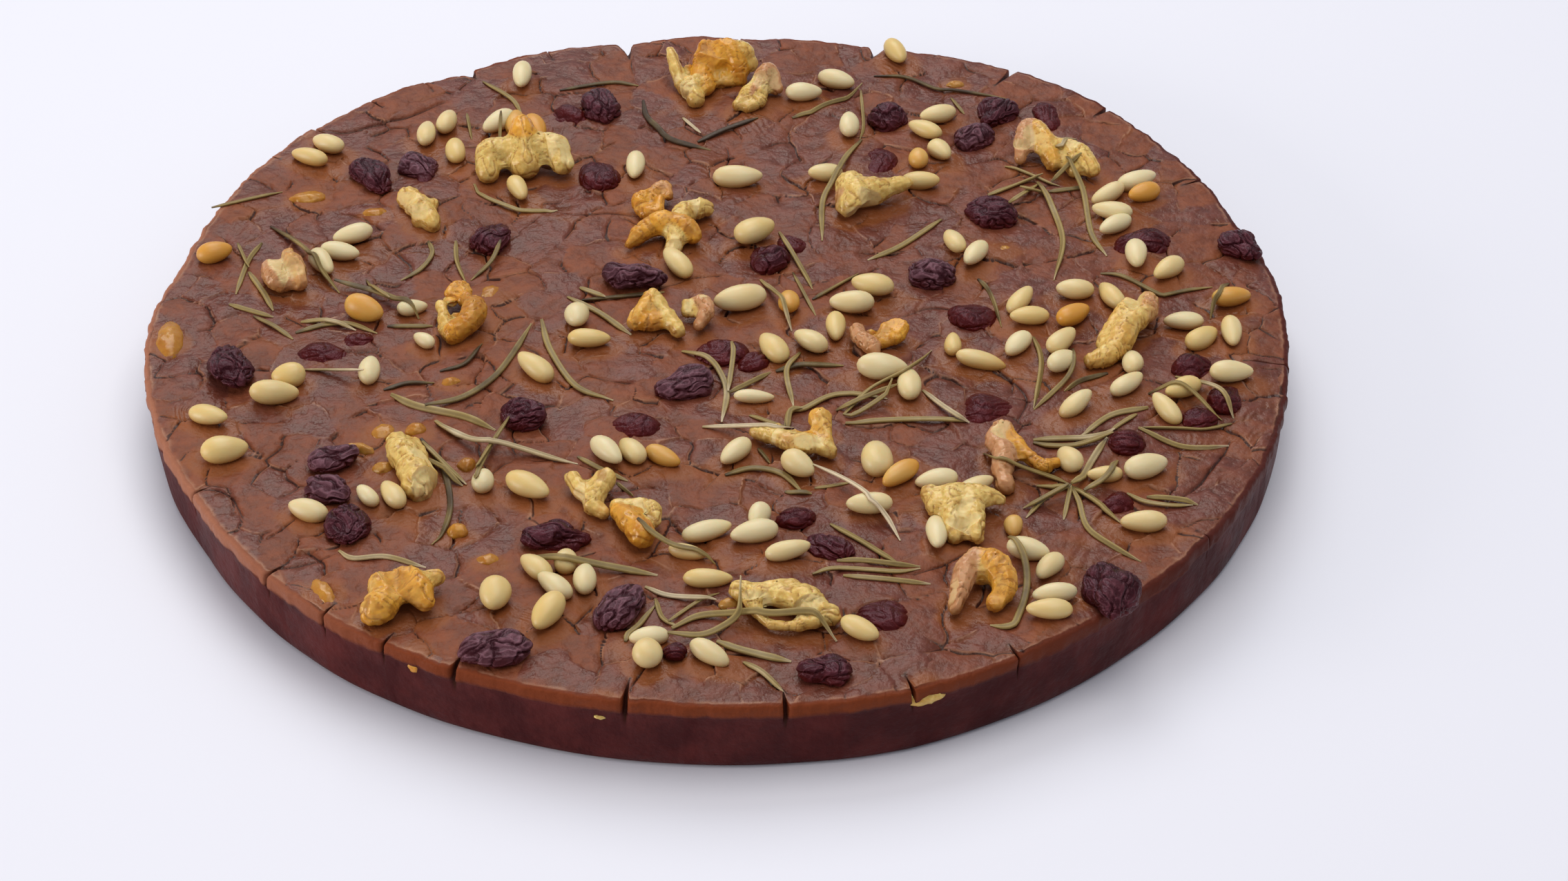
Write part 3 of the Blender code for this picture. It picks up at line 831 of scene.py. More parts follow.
def raisin_finish(name, crease, ridge, low, roughness):
    """Waxy wrinkled skin: dark, with dust and a painted highlight on the folds, red next to the dough.
    """
    made = Finish(name, Specular_IOR_Level=0.24, Specular_Tint=(1.0, 0.50, 0.62))
    fold = made.attribute("fold")
    dust = made.noise(2.5, 3, 0.6)
    # The folds are lighter with dust and a painted highlight.
    colour = made.blend((fold * 0.8 + dust * 0.5).above(0.55, 1.1), crease, ridge)
    height = made.along("Z")
    sunk = 1 - (height + (dust - 0.5) * 0.002).above((TOP - 0.5) * MM, (TOP + 2.6) * MM)
    colour = made.blend(sunk * 0.8, colour, low)
    rough = roughness + (made.noise(1.2, 3) - 0.5) * 0.3
    return made.finish(colour, rough, made.noise(0.5, 3, 0.6) + made.noise(1.4, 2), 0.3)


raisin_skins = {name: raisin_finish(name, *look) for name, look in SKINS.items()}


def settle(x, y, half_length, half_width, turn, lift, reach, stain=0.0):
    """Lifts the crust round a topping that lies on it, and stains it on the near side."""
    mesh = cake.data
    count = len(mesh.vertices)
    places = np.empty(count * 3, np.float32)
    mesh.vertices.foreach_get("co", places)
    places = places.reshape(-1, 3)
    angle = math.radians(turn)
    offset = places[:, :2] / MM - (x, y)
    along = offset @ (math.cos(angle), math.sin(angle))
    across = offset @ (-math.sin(angle), math.cos(angle))
    gap = (np.hypot(along / half_length, across / half_width) - 1) * half_width
    upper = places[:, 2] > (TOP - 2) * MM
    near = np.exp(-((np.maximum(gap, 0) / reach) ** 2)) * upper
    places[:, 2] += near * lift * MM
    mesh.vertices.foreach_set("co", places.ravel())
    if stain:
        values = np.empty(count, np.float32)
        mesh.attributes["stain"].data.foreach_get("value", values)
        near_side = 0.35 + 0.65 * ease(-offset[:, 1], -half_width, half_width)
        halo = np.exp(-((np.maximum(gap, 0) / STAIN_REACH) ** 2)) * upper * near_side * stain
        mesh.attributes["stain"].data.foreach_set("value", np.maximum(values, halo))


ball_corners, ball_sides = ball(BALL_STEPS)
raisin_nodes = sorted(node for node in frame["nodes"] if node.startswith("raisin"))
for order, node in enumerate(raisin_nodes, 1):
    middle, axes, half = main_axes(node)
    depth, scale, rise, crust_lift = DEEP if order in SUNK else LOOSE
    skin = "sunk raisin" if order in SUNK else "raisin bloom" if order in BLOOM else "raisin skin"
    spots, fold = shrivelled(ball_corners, half, 100 * order, depth)
    spots = (spots @ axes + middle - (*middle[:2], TOP)) * scale + (*middle[:2], TOP + rise)
    piece = in_scene(f"{node}_looks", as_mesh(node, spots, ball_sides, fold=fold), raisin_skins[skin])
    turn = math.degrees(math.atan2(axes[0][1], axes[0][0]))
    settle(*middle[:2], half[0], half[1], turn, lift=crust_lift, reach=2.0)
    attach(piece, "root")
    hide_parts(node)

small_corners, small_sides = ball(BALL_STEPS - 1)
corners, sides, folds = [], [], []
for order, (x, y, length, width, turn, rise) in enumerate(SMALL_RAISINS):
    half = np.array((length, width, width)) * SMALL_SCALE / 2
    spots, fold = shrivelled(small_corners, half, 5000 + 100 * order, FOLD_DEPTH * 0.6)
    spin = np.array(Matrix.Rotation(math.radians(turn), 3, "Z"))
    sides.append(small_sides + len(small_corners) * order)
    corners.append(spots @ spin.T + (x, y, TOP + rise - half[2]))
    folds.append(fold)
    settle(x, y, half[0], half[1], turn, lift=0.25, reach=1.8)
small_mesh = as_mesh("small_raisins", np.vstack(corners), np.vstack(sides), fold=np.concatenate(folds))
small_raisins = in_scene("small_raisins", small_mesh, raisin_skins["sunk raisin"])
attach(small_raisins, "root")


# Walnut pieces: broken kernels, pale where they snapped, amber where the oven caught them
# and tan where the skin stayed on. Each is made of fleshy ribs that run into each other and
# takes the place of its node.

# Ribs of the pieces: the piece's number, how toasted (0 to 1) and how much skin (0 to 1), then
# the points that the rib runs through, each (x, y, height over the crust, radius).
WALNUT_RIBS = (
    (1, 0.1, 0, (-14, 110, 6.5, 1.2), (-12.5, 105, 3.5, 1.8), (-11, 100.5, 1, 1.3), (-9, 98.5, 1.2, 2)),
    (1, 0.9, 0.2, (-5, 108.5, 8, 2.4), (-6, 105, 4.5, 2.5), (-5, 99.5, 2, 2.4)),
    (1, 0.8, 0.2, (-4.5, 106, 5.5, 2.8), (0.5, 108, 8.2, 2.8), (3, 104.5, 5, 2), (4, 103, 1.5, 1.4)),
    (1, 0.2, 0.1, (1.5, 108, 7.6, 2.4), (4.5, 108, 7, 2.4), (6, 107, 4, 1.8)),
    (1, 0.1, 0, (-5, 100.5, 2.4, 2.4), (-9, 99.5, 2.6, 2.5), (-7.5, 95, 1.5, 2.6)),
    (1, 0.4, 0.1, (-6, 104, 2.4, 2.2), (-2.5, 103, 1.6, 1.9), (1, 103, 1.6, 1.8)),
    (2, 0.4, 0.9, (12.5, 98.5, 2.5, 1.8), (10.5, 101.5, 5.5, 2.4), (8, 97, 3.5, 2.8),
     (3, 93.5, 1, 1.2)),
    (2, 0.2, 0, (3, 92, 1.5, 1.5), (5.5, 96.5, 3, 1.6), (8, 97.5, 3, 1.6), (8.6, 93.5, 2, 1.5),
     (5.5, 91, 1.3, 1.3)),
    (3, 1, 0.2, (-49, 72, 8.3, 3), (-48.7, 69.5, 7, 3.5)),
    (3, 0.2, 0, (-48.6, 68.5, 5.5, 4), (-48.2, 63.8, 2.8, 4.3)),
    (3, 0, 0, (-51, 66.5, 4.5, 3.3), (-54.5, 67, 4.7, 3.2), (-57, 65, 4, 3.6), (-56.8, 60.8, 2.2, 3.1)),
    (3, 0.1, 0, (-46, 67.3, 4.6, 3.3), (-43.5, 68.6, 5, 3.1), (-41, 67.5, 4.8, 3.7),
     (-39, 63.5, 3, 3.2)),
    (4, 0.3, 0, (-75, 49.5, 2.2, 2.8), (-73, 46, 2.6, 3.1), (-70, 42, 2, 2.9), (-68.5, 39, 1.5, 1.9)),
    (4, 0.2, 0, (-69.2, 47.5, 1.8, 1.6), (-70.6, 44.5, 1.8, 2.5), (-71.6, 41.5, 1.2, 2.1)),
    (5, 0.8, 0.3, (-17, 50, 3, 1.6), (-20, 48, 2.5, 2), (-18.5, 44, 2, 2), (-15.5, 43.5, 2.5, 1.6),
     (-15, 47, 3.5, 1.2)),
    (5, 1, 0.6, (-17.4, 49.4, 2.8, 1.4), (-16, 51.5, 3.5, 1.5), (-14, 53, 3.5, 1.3),
     (-13, 50, 2.5, 1.3)),
    (6, 0.7, 0, (-22, 31, 1.5, 1.5), (-18.4, 34.2, 3.2, 2.4), (-14.1, 36, 4.2, 3), (-10, 35.2, 4.2, 3),
     (-7, 33, 2.8, 2.1)),
    (6, 0.1, 0, (-11.4, 34.4, 3.2, 2.4), (-11.2, 30.6, 2.3, 2), (-11.5, 28.6, 1.8, 1.9)),
    (6, 0, 0, (-11, 39, 2.6, 2.2), (-9.5, 41.5, 3, 2.6), (-6.5, 43.6, 3, 2.8), (-4.2, 44.6, 2.4, 2)),
    (7, 0.1, 0.1, (30, 54.5, 3.5, 2), (30.5, 52, 3.5, 3.8), (32, 48, 3.5, 4.3), (29.5, 45, 2, 2.6)),
    (7, 0.2, 0, (32, 49.5, 3.5, 4.2), (35.5, 50.2, 3.6, 3.6), (39.5, 51.8, 3.8, 2.5),
     (43.8, 53.4, 3.8, 1.5)),
    (7, 0.1, 0.8, (28.5, 49, 2.4, 2.6), (28.5, 46, 1.6, 2.2)),
    (8, 0.3, 1, (75, 76.5, 5.5, 1.8), (73.5, 76, 5.5, 2), (72.5, 71, 4.5, 2.3), (71.5, 67, 2, 1.6)),
    (8, 0.5, 0.2, (75, 76.5, 5.5, 1.8), (76.5, 74, 5.3, 2.5), (78, 70, 4, 2.9), (79.5, 65.5, 2, 2.5)),
    (8, 0.3, 0, (79, 69.5, 3.8, 2.3), (82, 69.5, 4, 2), (86, 66, 4, 2.7), (88.5, 61.5, 2.5, 2.3)),
    (8, 0.2, 0, (82, 68, 3, 1.9), (84.5, 62.5, 1.5, 2)),
    (9, 0.1, 0.8, (-104, 18.5, 3, 3.2), (-103, 15.5, 3, 3.2), (-101.5, 14.8, 2.2, 2.6)),
    (9, 0.5, 0.6, (-100.5, 23.5, 4.5, 1), (-101, 22, 4, 1.6), (-99.5, 19, 3.5, 2.9),
     (-97.5, 14.5, 2, 2.2)),
    (9, 0.2, 0.7, (-103, 17, 2.6, 2.6), (-99.6, 17.5, 2.6, 2.4)),
    (10, 1.35, 0.3, (-59, 7, 3, 1.6), (-58, 5, 3.5, 2.1), (-56, 1.5, 4, 2.7), (-57, -3, 3.5, 3.1),
     (-60.5, -5.5, 2, 2.5)),
    (10, 0.3, 0.1, (-64, 4, 3, 1.2), (-63, 0, 2.5, 1.5), (-63, -4, 1.5, 1.2), (-60.5, -5, 1.6, 1.8)),
    (10, 0.7, 0.4, (-62.5, 8.5, 3, 1.2), (-61, 11, 3.5, 1.3), (-58.5, 10, 3, 1.7), (-59, 7, 3, 1.5)),
    (11, 0.5, 0, (-15.5, 6, 4.5, 1.9), (-17.5, 1.5, 3.5, 2.3), (-19.5, -1.5, 2, 2.1)),
    (11, 0.1, 0, (-15.5, 6, 4.5, 1.9), (-13, 1.5, 3, 2), (-9.5, -4, 1.8, 1.7)),
    (11, 1, 0.5, (-18, 0, 2.2, 2), (-17, -1.5, 2.2, 2.4), (-14, -1, 1.8, 1.8)),
    (12, 0, 0, (-7.8, 4.5, 3, 1.3), (-7.8, 2.5, 2, 1.3), (-6, 2.6, 2, 1.2)),
    (12, 0, 0.9, (-6, 3.4, 2.4, 1.3), (-4.5, 5, 3.5, 1.7), (-3, 1, 3.5, 1.9), (-5, -2.5, 2, 1.5)),
    (13, 0.5, 0.8, (31, -5, 2.5, 1.9), (31.5, -8.5, 3, 1.9), (34, -11, 2.5, 2.1), (35, -13, 1.5, 1.7)),
    (13, 0.7, 0.2, (36.5, -7, 2.5, 1.3), (38, -4.5, 3, 1.7), (41, -5, 3, 2.1), (38.5, -8.5, 2, 1.5),
     (34, -8.4, 1.2, 1.4)),
    (14, 0.1, 0.4, (8, -42, 1.5, 1.4), (12.5, -45, 2.5, 1.9), (16, -47.5, 3, 2.3), (21, -48.5, 3, 2.1),
     (24.5, -49.5, 1.8, 1.7)),
    (14, 0.5, 0, (22.3, -40.8, 4, 2.7), (23.4, -44.5, 3.5, 1.6), (23.5, -48, 2.5, 1.9)),
    (14, 0.3, 0, (13, -42, 2.4, 1.4), (13.6, -45, 2.4, 1.6), (16.5, -44.8, 3, 1.4)),
    (14, 0.8, 0.2, (19.5, -45.6, 3.2, 1.3), (19.2, -48, 2.4, 1.2)),
    (15, 0.4, 0.6, (97.5, 4.5, 3.5, 2.6), (96.5, 0, 4, 2.8), (93.5, -4, 4, 2.8)),
    (15, 0.4, 0.1, (94.5, -3, 4, 2.4), (92, -6, 4, 2.8), (89, -12.5, 3, 2.8), (86, -15, 2, 2.4),
     (83.5, -15.5, 1.5, 2)),
    (15, 0.3, 0, (93, 3, 4, 1.9), (91.5, -1, 4, 2.3), (88, -7, 3, 2.2), (86.5, -10, 2.5, 2)),
    (16, 0.2, 1, (62, -45, 4, 2.9), (60.5, -48, 3.5, 2.5), (62, -52, 3.5, 2.9), (61.5, -57, 2.5, 2.5),
     (62, -61, 1.5, 2.1)),
    (16, 0.8, 0.3, (63, -46, 3.6, 2.2), (66, -50.5, 3, 1.8), (70, -54.5, 2, 1.6),
     (73.5, -53, 1.5, 1.5)),
    (17, 0, 0, (-69.5, -47.8, 2.6, 2.6), (-68, -51.5, 2.8, 3.5), (-65.6, -56, 2.6, 3.8),
     (-63.6, -61.5, 2, 3.6)),
    (17, 0.3, 0, (-66.5, -48.5, 2.4, 2.4), (-63.4, -56, 2, 2.4), (-61.4, -60.5, 1.6, 2.2)),
    (18, 0.6, 0.2, (-68.5, -97.5, 3.5, 3.1), (-67, -101, 3.5, 3.8), (-70, -104, 2, 2.7)),
    (18, 0.7, 0.1, (-66.5, -98, 3, 2.8), (-64, -95.5, 3.8, 2.9), (-61.5, -98, 3.5, 3.5),
     (-59.5, -101.5, 2.5, 2.5)),
    (18, 0.4, 0.1, (-62, -95.5, 3.2, 2), (-57.5, -94, 3, 1.7)),
    (19, 0.2, 0.3, (-31, -60.5, 3, 1.9), (-29, -64, 2.5, 2.1), (-27, -67.5, 2, 2.1),
     (-24, -70.5, 1.5, 1.7)),
    (19, 0.1, 0, (-24, -62, 4, 2.4), (-25.5, -65.5, 3, 2.4), (-27, -67.5, 2, 2)),
    (20, 0, 0, (-21, -69.5, 2.5, 1.7), (-17, -70, 3, 1.9), (-13.5, -71, 3.2, 1.9),
     (-13, -74.5, 2.5, 1.5)),
    (20, 1.2, 0.1, (-20.5, -71.5, 2.5, 2.2), (-18, -75.5, 3, 2.8), (-15.5, -79.5, 2.8, 3)),
    (21, 0.1, 0, (5, -97.5, 2.5, 2), (8, -99.5, 2.8, 2.4), (8.4, -103, 2.2, 1.6),
     (11.5, -107.6, 1.6, 1.1)),
    (21, 0.2, 0.1, (8, -99.5, 2.8, 2.3), (13, -98.5, 3.2, 2.6), (16, -98, 3, 2.4)),
    (21, 0.1, 0, (13, -100, 3, 2.6), (18.5, -101.5, 3, 3), (21.5, -104, 2.5, 2.6), (24, -105, 2, 2.2)),
    (21, 0.2, 0, (11.5, -107.6, 1.6, 1.1), (16.5, -108, 1.6, 1.2), (20.5, -106.5, 2, 2.1)),
    (22, 0.1, 0, (46, -68, 3, 2.3), (52, -67, 3.4, 2.9), (57, -67.5, 3.2, 2.7),
     (60.5, -67.5, 2.5, 1.7)),
    (22, 0.1, 0, (45.5, -66.5, 3.5, 2.2), (47, -70, 3, 2.6)),
    (22, 0, 0, (49.5, -67.5, 3.6, 2.6), (50, -72, 3.5, 2.6), (50.5, -78.5, 1.8, 1.9)),
    (22, 0.1, 0, (54, -67.5, 3.6, 2.6), (54.8, -72, 3.6, 2.5), (55, -79, 1.8, 1.8)),
    (23, 0.4, 0.8, (54.5, -89, 4.5, 2.4), (52.3, -93, 4, 2.6), (50.8, -98, 3, 2.2),
     (49.6, -102, 1.5, 1.7)),
    (23, 0.7, 0.4, (54.5, -89, 4.2, 2.4), (57, -90.5, 4.5, 3.1), (59.5, -94, 4, 3.3),
     (60, -98, 2.8, 2.6), (58, -100.8, 1.8, 2)),
    (23, 0.6, 0.3, (55, -91, 3.4, 2.4), (55.4, -93.5, 2.4, 1.5)),
)
# The beads that a lump is fused from: their spacing and swelling, the voxel that fuses them,
# and how many of them tell a spot its toast and skin.
BEAD_STEP = 0.7
SWELL = 1.1
VOXEL = 0.34
BEADS_NEAR = 5
# Flat breaks: how many for each rib, and which way they lean. A rib lower than this many of
# its radii pushes the crust up.
CHIPS = 1
CHIP_LEAN = (0, -0.3, 0.8)
LOW = 1.6
bead_corners, bead_sides = ball(2)


def beads_along(ribs):
    """Beads in rows along the ribs: place, radius, toast, skin and direction of each."""
    rows = []
    for toast, skin, path in ribs:
        spine = smooth_path(path, BEAD_STEP)
        along = np.gradient(spine[:, :3], axis=0)
        along /= np.linalg.norm(along, axis=1)[:, None]
        rows.append(np.hstack((spine, np.full((len(spine), 2), (toast, skin)), along)))
    return np.vstack(rows)


def fused(beads, seed):
    """The beads swollen, fused into one closed skin and shrunk back."""
    swollen = beads[:, 3] * (1 + 0.1 * waves(beads[:, :3], 3.5, seed)) + SWELL
    corners = bead_corners[None] * swollen[:, None, None] + beads[:, None, :3]
    sides = bead_sides[None] + (np.arange(len(beads)) * len(bead_corners))[:, None, None]
    rough = placed("beads", as_mesh("beads", corners.reshape(-1, 3), sides.reshape(-1, 3)))
    fuse = rough.modifiers.new("fuse", "REMESH")
    fuse.mode = "VOXEL"
    fuse.voxel_size = VOXEL * MM
    even = rough.modifiers.new("even", "SMOOTH")
    even.iterations = 6
    shrink = rough.modifiers.new("shrink", "DISPLACE")
    shrink.strength = -SWELL * MM
    shrink.mid_level = 0.0
    shape = rough.evaluated_get(bpy.context.evaluated_depsgraph_get())
    mesh = bpy.data.meshes.new_from_object(shape)
    bpy.data.objects.remove(rough)
    return mesh


def bead_facts(beads, spots):
    """Toast, skin and direction of the beads next to each spot, the nearest weighing most."""
    tree = tree_of(beads[:, :3])
    facts = np.zeros((len(spots), beads.shape[1] - 4))
    for index, spot in enumerate(spots.tolist()):
        hits = tree.find_n(spot, BEADS_NEAR)
        weights = np.array([1 / (hit[2] + 0.3) ** 2 for hit in hits])
        facts[index] = weights @ beads[[hit[1] for hit in hits], 4:] / weights.sum()
    along = facts[:, 2:]
    return facts[:, 0], facts[:, 1], along / (np.linalg.norm(along, axis=1)[:, None] + 1e-6)


def chip(spots, beads, chips, seed):
    """Presses spots into flat breaks at some of the beads. Returns how broken each spot is."""
    broken = np.zeros(len(spots))
    draw = np.random.default_rng(seed)
    for bead in beads[draw.choice(len(beads), chips)]:
        facing = draw.normal(size=3) + CHIP_LEAN
        facing /= np.linalg.norm(facing)
        away = spots - bead[:3]
        past = np.maximum(away @ facing - bead[3] * draw.uniform(0.7, 0.95), 0)
        past *= 1 - ease(np.linalg.norm(away, axis=1), bead[3] * 1.3, bead[3] * 2.2)
        spots -= facing * past[:, None]
        broken = np.maximum(broken, ease(past, 0.0, 0.25))
    return broken


def fleshy(ribs, seed):
    """One closed lump of kernel along the ribs, furrowed lengthwise and chipped."""
    beads = beads_along(ribs)
    mesh = fused(beads, seed)
    spots, outward = np.empty((2, len(mesh.vertices) * 3), np.float32)
    mesh.vertices.foreach_get("co", spots)
    mesh.vertex_normals.foreach_get("vector", outward)
    spots, outward = spots.reshape(-1, 3) / MM, outward.reshape(-1, 3)
    toast, skin, along = bead_facts(beads, spots)
    across = spots - along * ((spots * along).sum(1) * 0.75)[:, None]
    furrow = np.clip(np.abs(waves(across, 4.2, seed + 1)) * 1.9, 0, 1) ** 0.6
    deep = 0.12 + 0.3 * ease(waves(spots, 12, seed + 4), -0.6, 0.8)
    push = (furrow - 0.8) * deep + waves(spots, 1.5, seed + 2) * 0.06
    spots += outward * push[:, None]
    broken = chip(spots, beads, CHIPS * len(ribs), seed + 3)
    mesh.vertices.foreach_set("co", (spots * MM).ravel())
    give(mesh, toast=toast, skin=skin, furrow=furrow, broken=broken)
    return mesh


def kernel_finish():
    """Oily kernel: cream flesh, amber toasting on the high parts, tan papery skin, painted shade in the
    furrows and at the foot.
    """
    made = Finish(
        "walnut kernel",
        Specular_IOR_Level=0.5,
        Specular_Tint=(1.0, 0.85, 0.62),
        Subsurface_Weight=0.25,
        Subsurface_Scale=2 * MM,
    )
    toast, skin, furrow, broken = map(made.attribute, ("toast", "skin", "furrow", "broken"))
    cloud = made.noise(3, 4, 0.6)
    grain = made.noise(0.7, 3, 0.6)
    colour = made.blend(grain.above(0.3, 0.75), (0.58, 0.36, 0.085), (0.76, 0.56, 0.18))
    # Toasted parts, then papery skin, then painted shade deep in the furrows.
    hot = (grain * 0.5 + cloud * 0.7).above(0.35, 0.8)
    amber = made.blend(hot, (0.46, 0.165, 0.014), (0.74, 0.37, 0.038))
    colour = made.blend((toast + cloud - 0.5).above(0.15, 0.75), colour, amber)
    peel = made.blend(grain, (0.38, 0.155, 0.06), (0.62, 0.335, 0.155))
    colour = made.blend((skin + cloud - 0.5).above(0.35, 0.8), colour, peel)
    colour = made.blend((1 - furrow).above(0.25, 0.8) * 0.6, colour, (0.28, 0.095, 0.012))
    # Scorched spots, the pale breaks, and painted amber shade at the foot where the kernel meets the
    # dough.
    colour = made.blend((toast + (cloud - 0.5) * 0.8).above(1.1, 1.7), colour, (0.24, 0.075, 0.012))
    snapped = broken * (1 - toast * 1.2).above(0, 1) * 0.75
    colour = made.blend(snapped, colour, made.blend(grain, (0.72, 0.54, 0.20), (0.82, 0.67, 0.34)))
    height = made.along("Z") + (cloud - 0.5) * 0.003
    foot = height.above((TOP - 1.5) * MM, (TOP - 0.5) * MM)
    foot = foot * (1 - height.above((TOP + 0.5) * MM, (TOP + 4) * MM))
    colour = made.blend(foot * 0.65, colour, (0.30, 0.11, 0.015))
    rough = 0.24 + (grain - 0.5) * 0.2 + broken * 0.15
    return made.finish(colour, rough, grain * 0.4 + made.noise(2, 3) * 0.5, 0.2)


kernel = kernel_finish()
walnut_nodes = sorted(node for node in frame["nodes"] if node.startswith("walnut"))
for order, node in enumerate(walnut_nodes, 1):
    ribs = [row[1:] for row in WALNUT_RIBS if row[0] == order]
    lifted = [(toast, skin, np.array(path) + (0, 0, TOP, 0)) for toast, skin, *path in ribs]
    piece = in_scene(f"{node}_looks", fleshy(lifted, 300 * order), kernel)
    for x, y, height, radius in [spot for _, _, *path in ribs for spot in path]:
        if height < radius * LOW:
            settle(x, y, radius, radius, 0, lift=0.12, reach=1.0, stain=0.8)
    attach(piece, "root")
    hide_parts(node)


# Pine nuts: small cream kernels shaped like drops, strewn on the raw dough, so that each
# sits a little in the crust. A few took on an orange toast.

PINE_LENGTH = 9.8
PINE_WIDTH = 5.7
PINE_FLATNESS = 0.88
PINE_SUNK = 0.16
# Place and turn of the long axis, then a nut's own length, width and toast (0 to 1) where
# these are not the usual ones.
PINE_NUTS = (
    (-51, 105, 90), (-73, 79, 90), (-68.3, 84, 80), (-65.4, 71, -80), (-96.7, 74.5, -35),
    (-100.7, 69, -25), (-55.7, 84, 45), (-51.5, 83.5, 90, 9, 6, 0.9), (-46.4, 82, -70, 10, 6, 1),
    (-49.3, 55, -70), (42.6, 116.7, -70), (27.5, 104, -20), (19.4, 97.4, 10), (30.4, 82, 90),
    (-21.5, 64.5, 90, 10, 5.5), (3.3, 59.6, 0, 12, 6.2), (24.3, 61.2, 20, 9, 6), (52.3, 87.4, 25),
    (49, 80.3, -35), (52.3, 71, -60, 8, 5.5), (47, 67.7, 90, 8, 5.5, 0.9), (47.2, 58.3, -10),
    (91.7, 52, 35), (99, 57.7, 20), (100.4, 52, 30, 9, 6, 1), (92.2, 44.3, -15), (92.6, 39, 40),
    (-118.6, 27, 20, 9, 6, 1), (-87, 34.8, 20), (-89.3, 27.7, -10), (-93.2, 23.2, -60),
    (-81.5, 3.8, -30, 10.5, 7, 0.9), (-70.6, 5.1, 20, 7, 5), (-67, -7.2, -40, 6, 4, 0),
    (-78.3, -19.1, 90, 9), (-96, -22, 10, 8, 7), (-98.6, -28.5, 10, 11.5, 7.5), (-112.2, -36.5, -25),
    (-41.2, -17.8, -45, 11, 6.5), (7.5, 35, 30, 10.5, 7.5), (-10.3, 22.8, -60, 11),
    (34.9, 13.2, -10, 10.5, 7), (30, 6.7, 0, 10.5, 6.5), (4.3, 7.4, 15, 12.5, 7.5),
    (15.5, 7, 90, 8.5, 5.5, 0.9), (26.2, -2.6, 90, 10, 5.5), (-32.8, 0.9, 90, 8, 7), (-29.6, -7.2, 0),
    (12, -10.7, -65, 10.5, 6.5), (20.4, -8.8, -40, 9, 6.5), (36.5, -19, -5, 11.5, 7.5),
    (42.3, -24.3, 90, 11.5, 6), (7.8, -29, 0, 9.5, 4, 0.1), (3.9, -49, 55), (-24, -50, -55),
    (-18.6, -49.4, -60, 9), (-11.9, -50.7, -30, 9, 5, 0.9), (34.6, -51.7, 90, 11, 8), (54.3, 32.2, -75),
    (59, 26.4, 65), (96.5, 26, 90), (103.6, 20.3, 45), (68.6, 7.7, 60), (81.4, 11.5, 0, 9, 6.5),
    (89.7, 9.9, -65), (70.4, 0.9, 10), (80.4, 1.9, 45, 10, 6, 1), (105.5, 0.3, 0),
    (117.2, 9.6, 15, 10, 6, 0.9), (109, -6.5, 40), (115.9, -4.3, 90), (52.6, -8.5, 90, 7, 5),
    (58.8, -14.6, -10, 12, 5.5), (67.2, -9, 55, 9), (77.2, -8, 55), (76.8, -15.9, 55),
    (92.6, -16.5, 90, 8.5), (90.7, -24.9, 40), (79, -31.7, 45), (114.3, -21, 5), (103, -26.2, 30, 9),
    (98.8, -33.6, -60), (-107, -49.4, 15, 11, 7), (-87, -69.4, -20, 9), (-69.3, -64, -65),
    (-74.8, -64.3, -50, 7, 4.5, 0), (-50.3, -59.7, 90, 7, 5.5), (-45.2, -99, 90, 9, 8),
    (-40.6, -61.7, -35, 11, 7), (-1.9, -76.5, 20, 11.5), (9.1, -72, 70, 7, 5.5, 0),
    (8.1, -77.5, 15, 10, 6.5), (15.2, -84.3, 15, 9.5), (-6, -83, -20, 8, 4.5), (-1.4, -92.6, 0, 11),
    (-37.4, -88.8, -50), (-31.2, -86.5, 90, 7), (-33.2, -95.2, -45), (-27, -92.6, 90, 9),
    (-34.1, -104.3, 65, 10.5, 7.5), (32.6, -68.5, 0), (39.4, -57.8, 45, 10, 5.5, 0.9),
    (47.2, -59.1, 10), (17.5, -54, -45, 8.5, 6.5), (30, -109, -40), (-13.2, -117.2, 90, 8, 7),
    (-13.2, -111, 15, 8, 5, 0), (-0.6, -116.8, -35), (46.8, -77.5, 90, 11.5), (55.5, -61.4, 35),
    (76.2, -52.3, -65, 8.5), (92.6, -55, 25, 11, 6.5), (90.7, -73.6, 0, 10), (65.7, -83.6, -20, 9),
    (69.7, -89.4, 55, 9), (70.4, -97.8, 10, 9.5), (69, -103, 0, 10), (63, -74.6, 90, 6, 4.5, 0.8),
    (83.7, -56.8, 10, 8, 5),
)


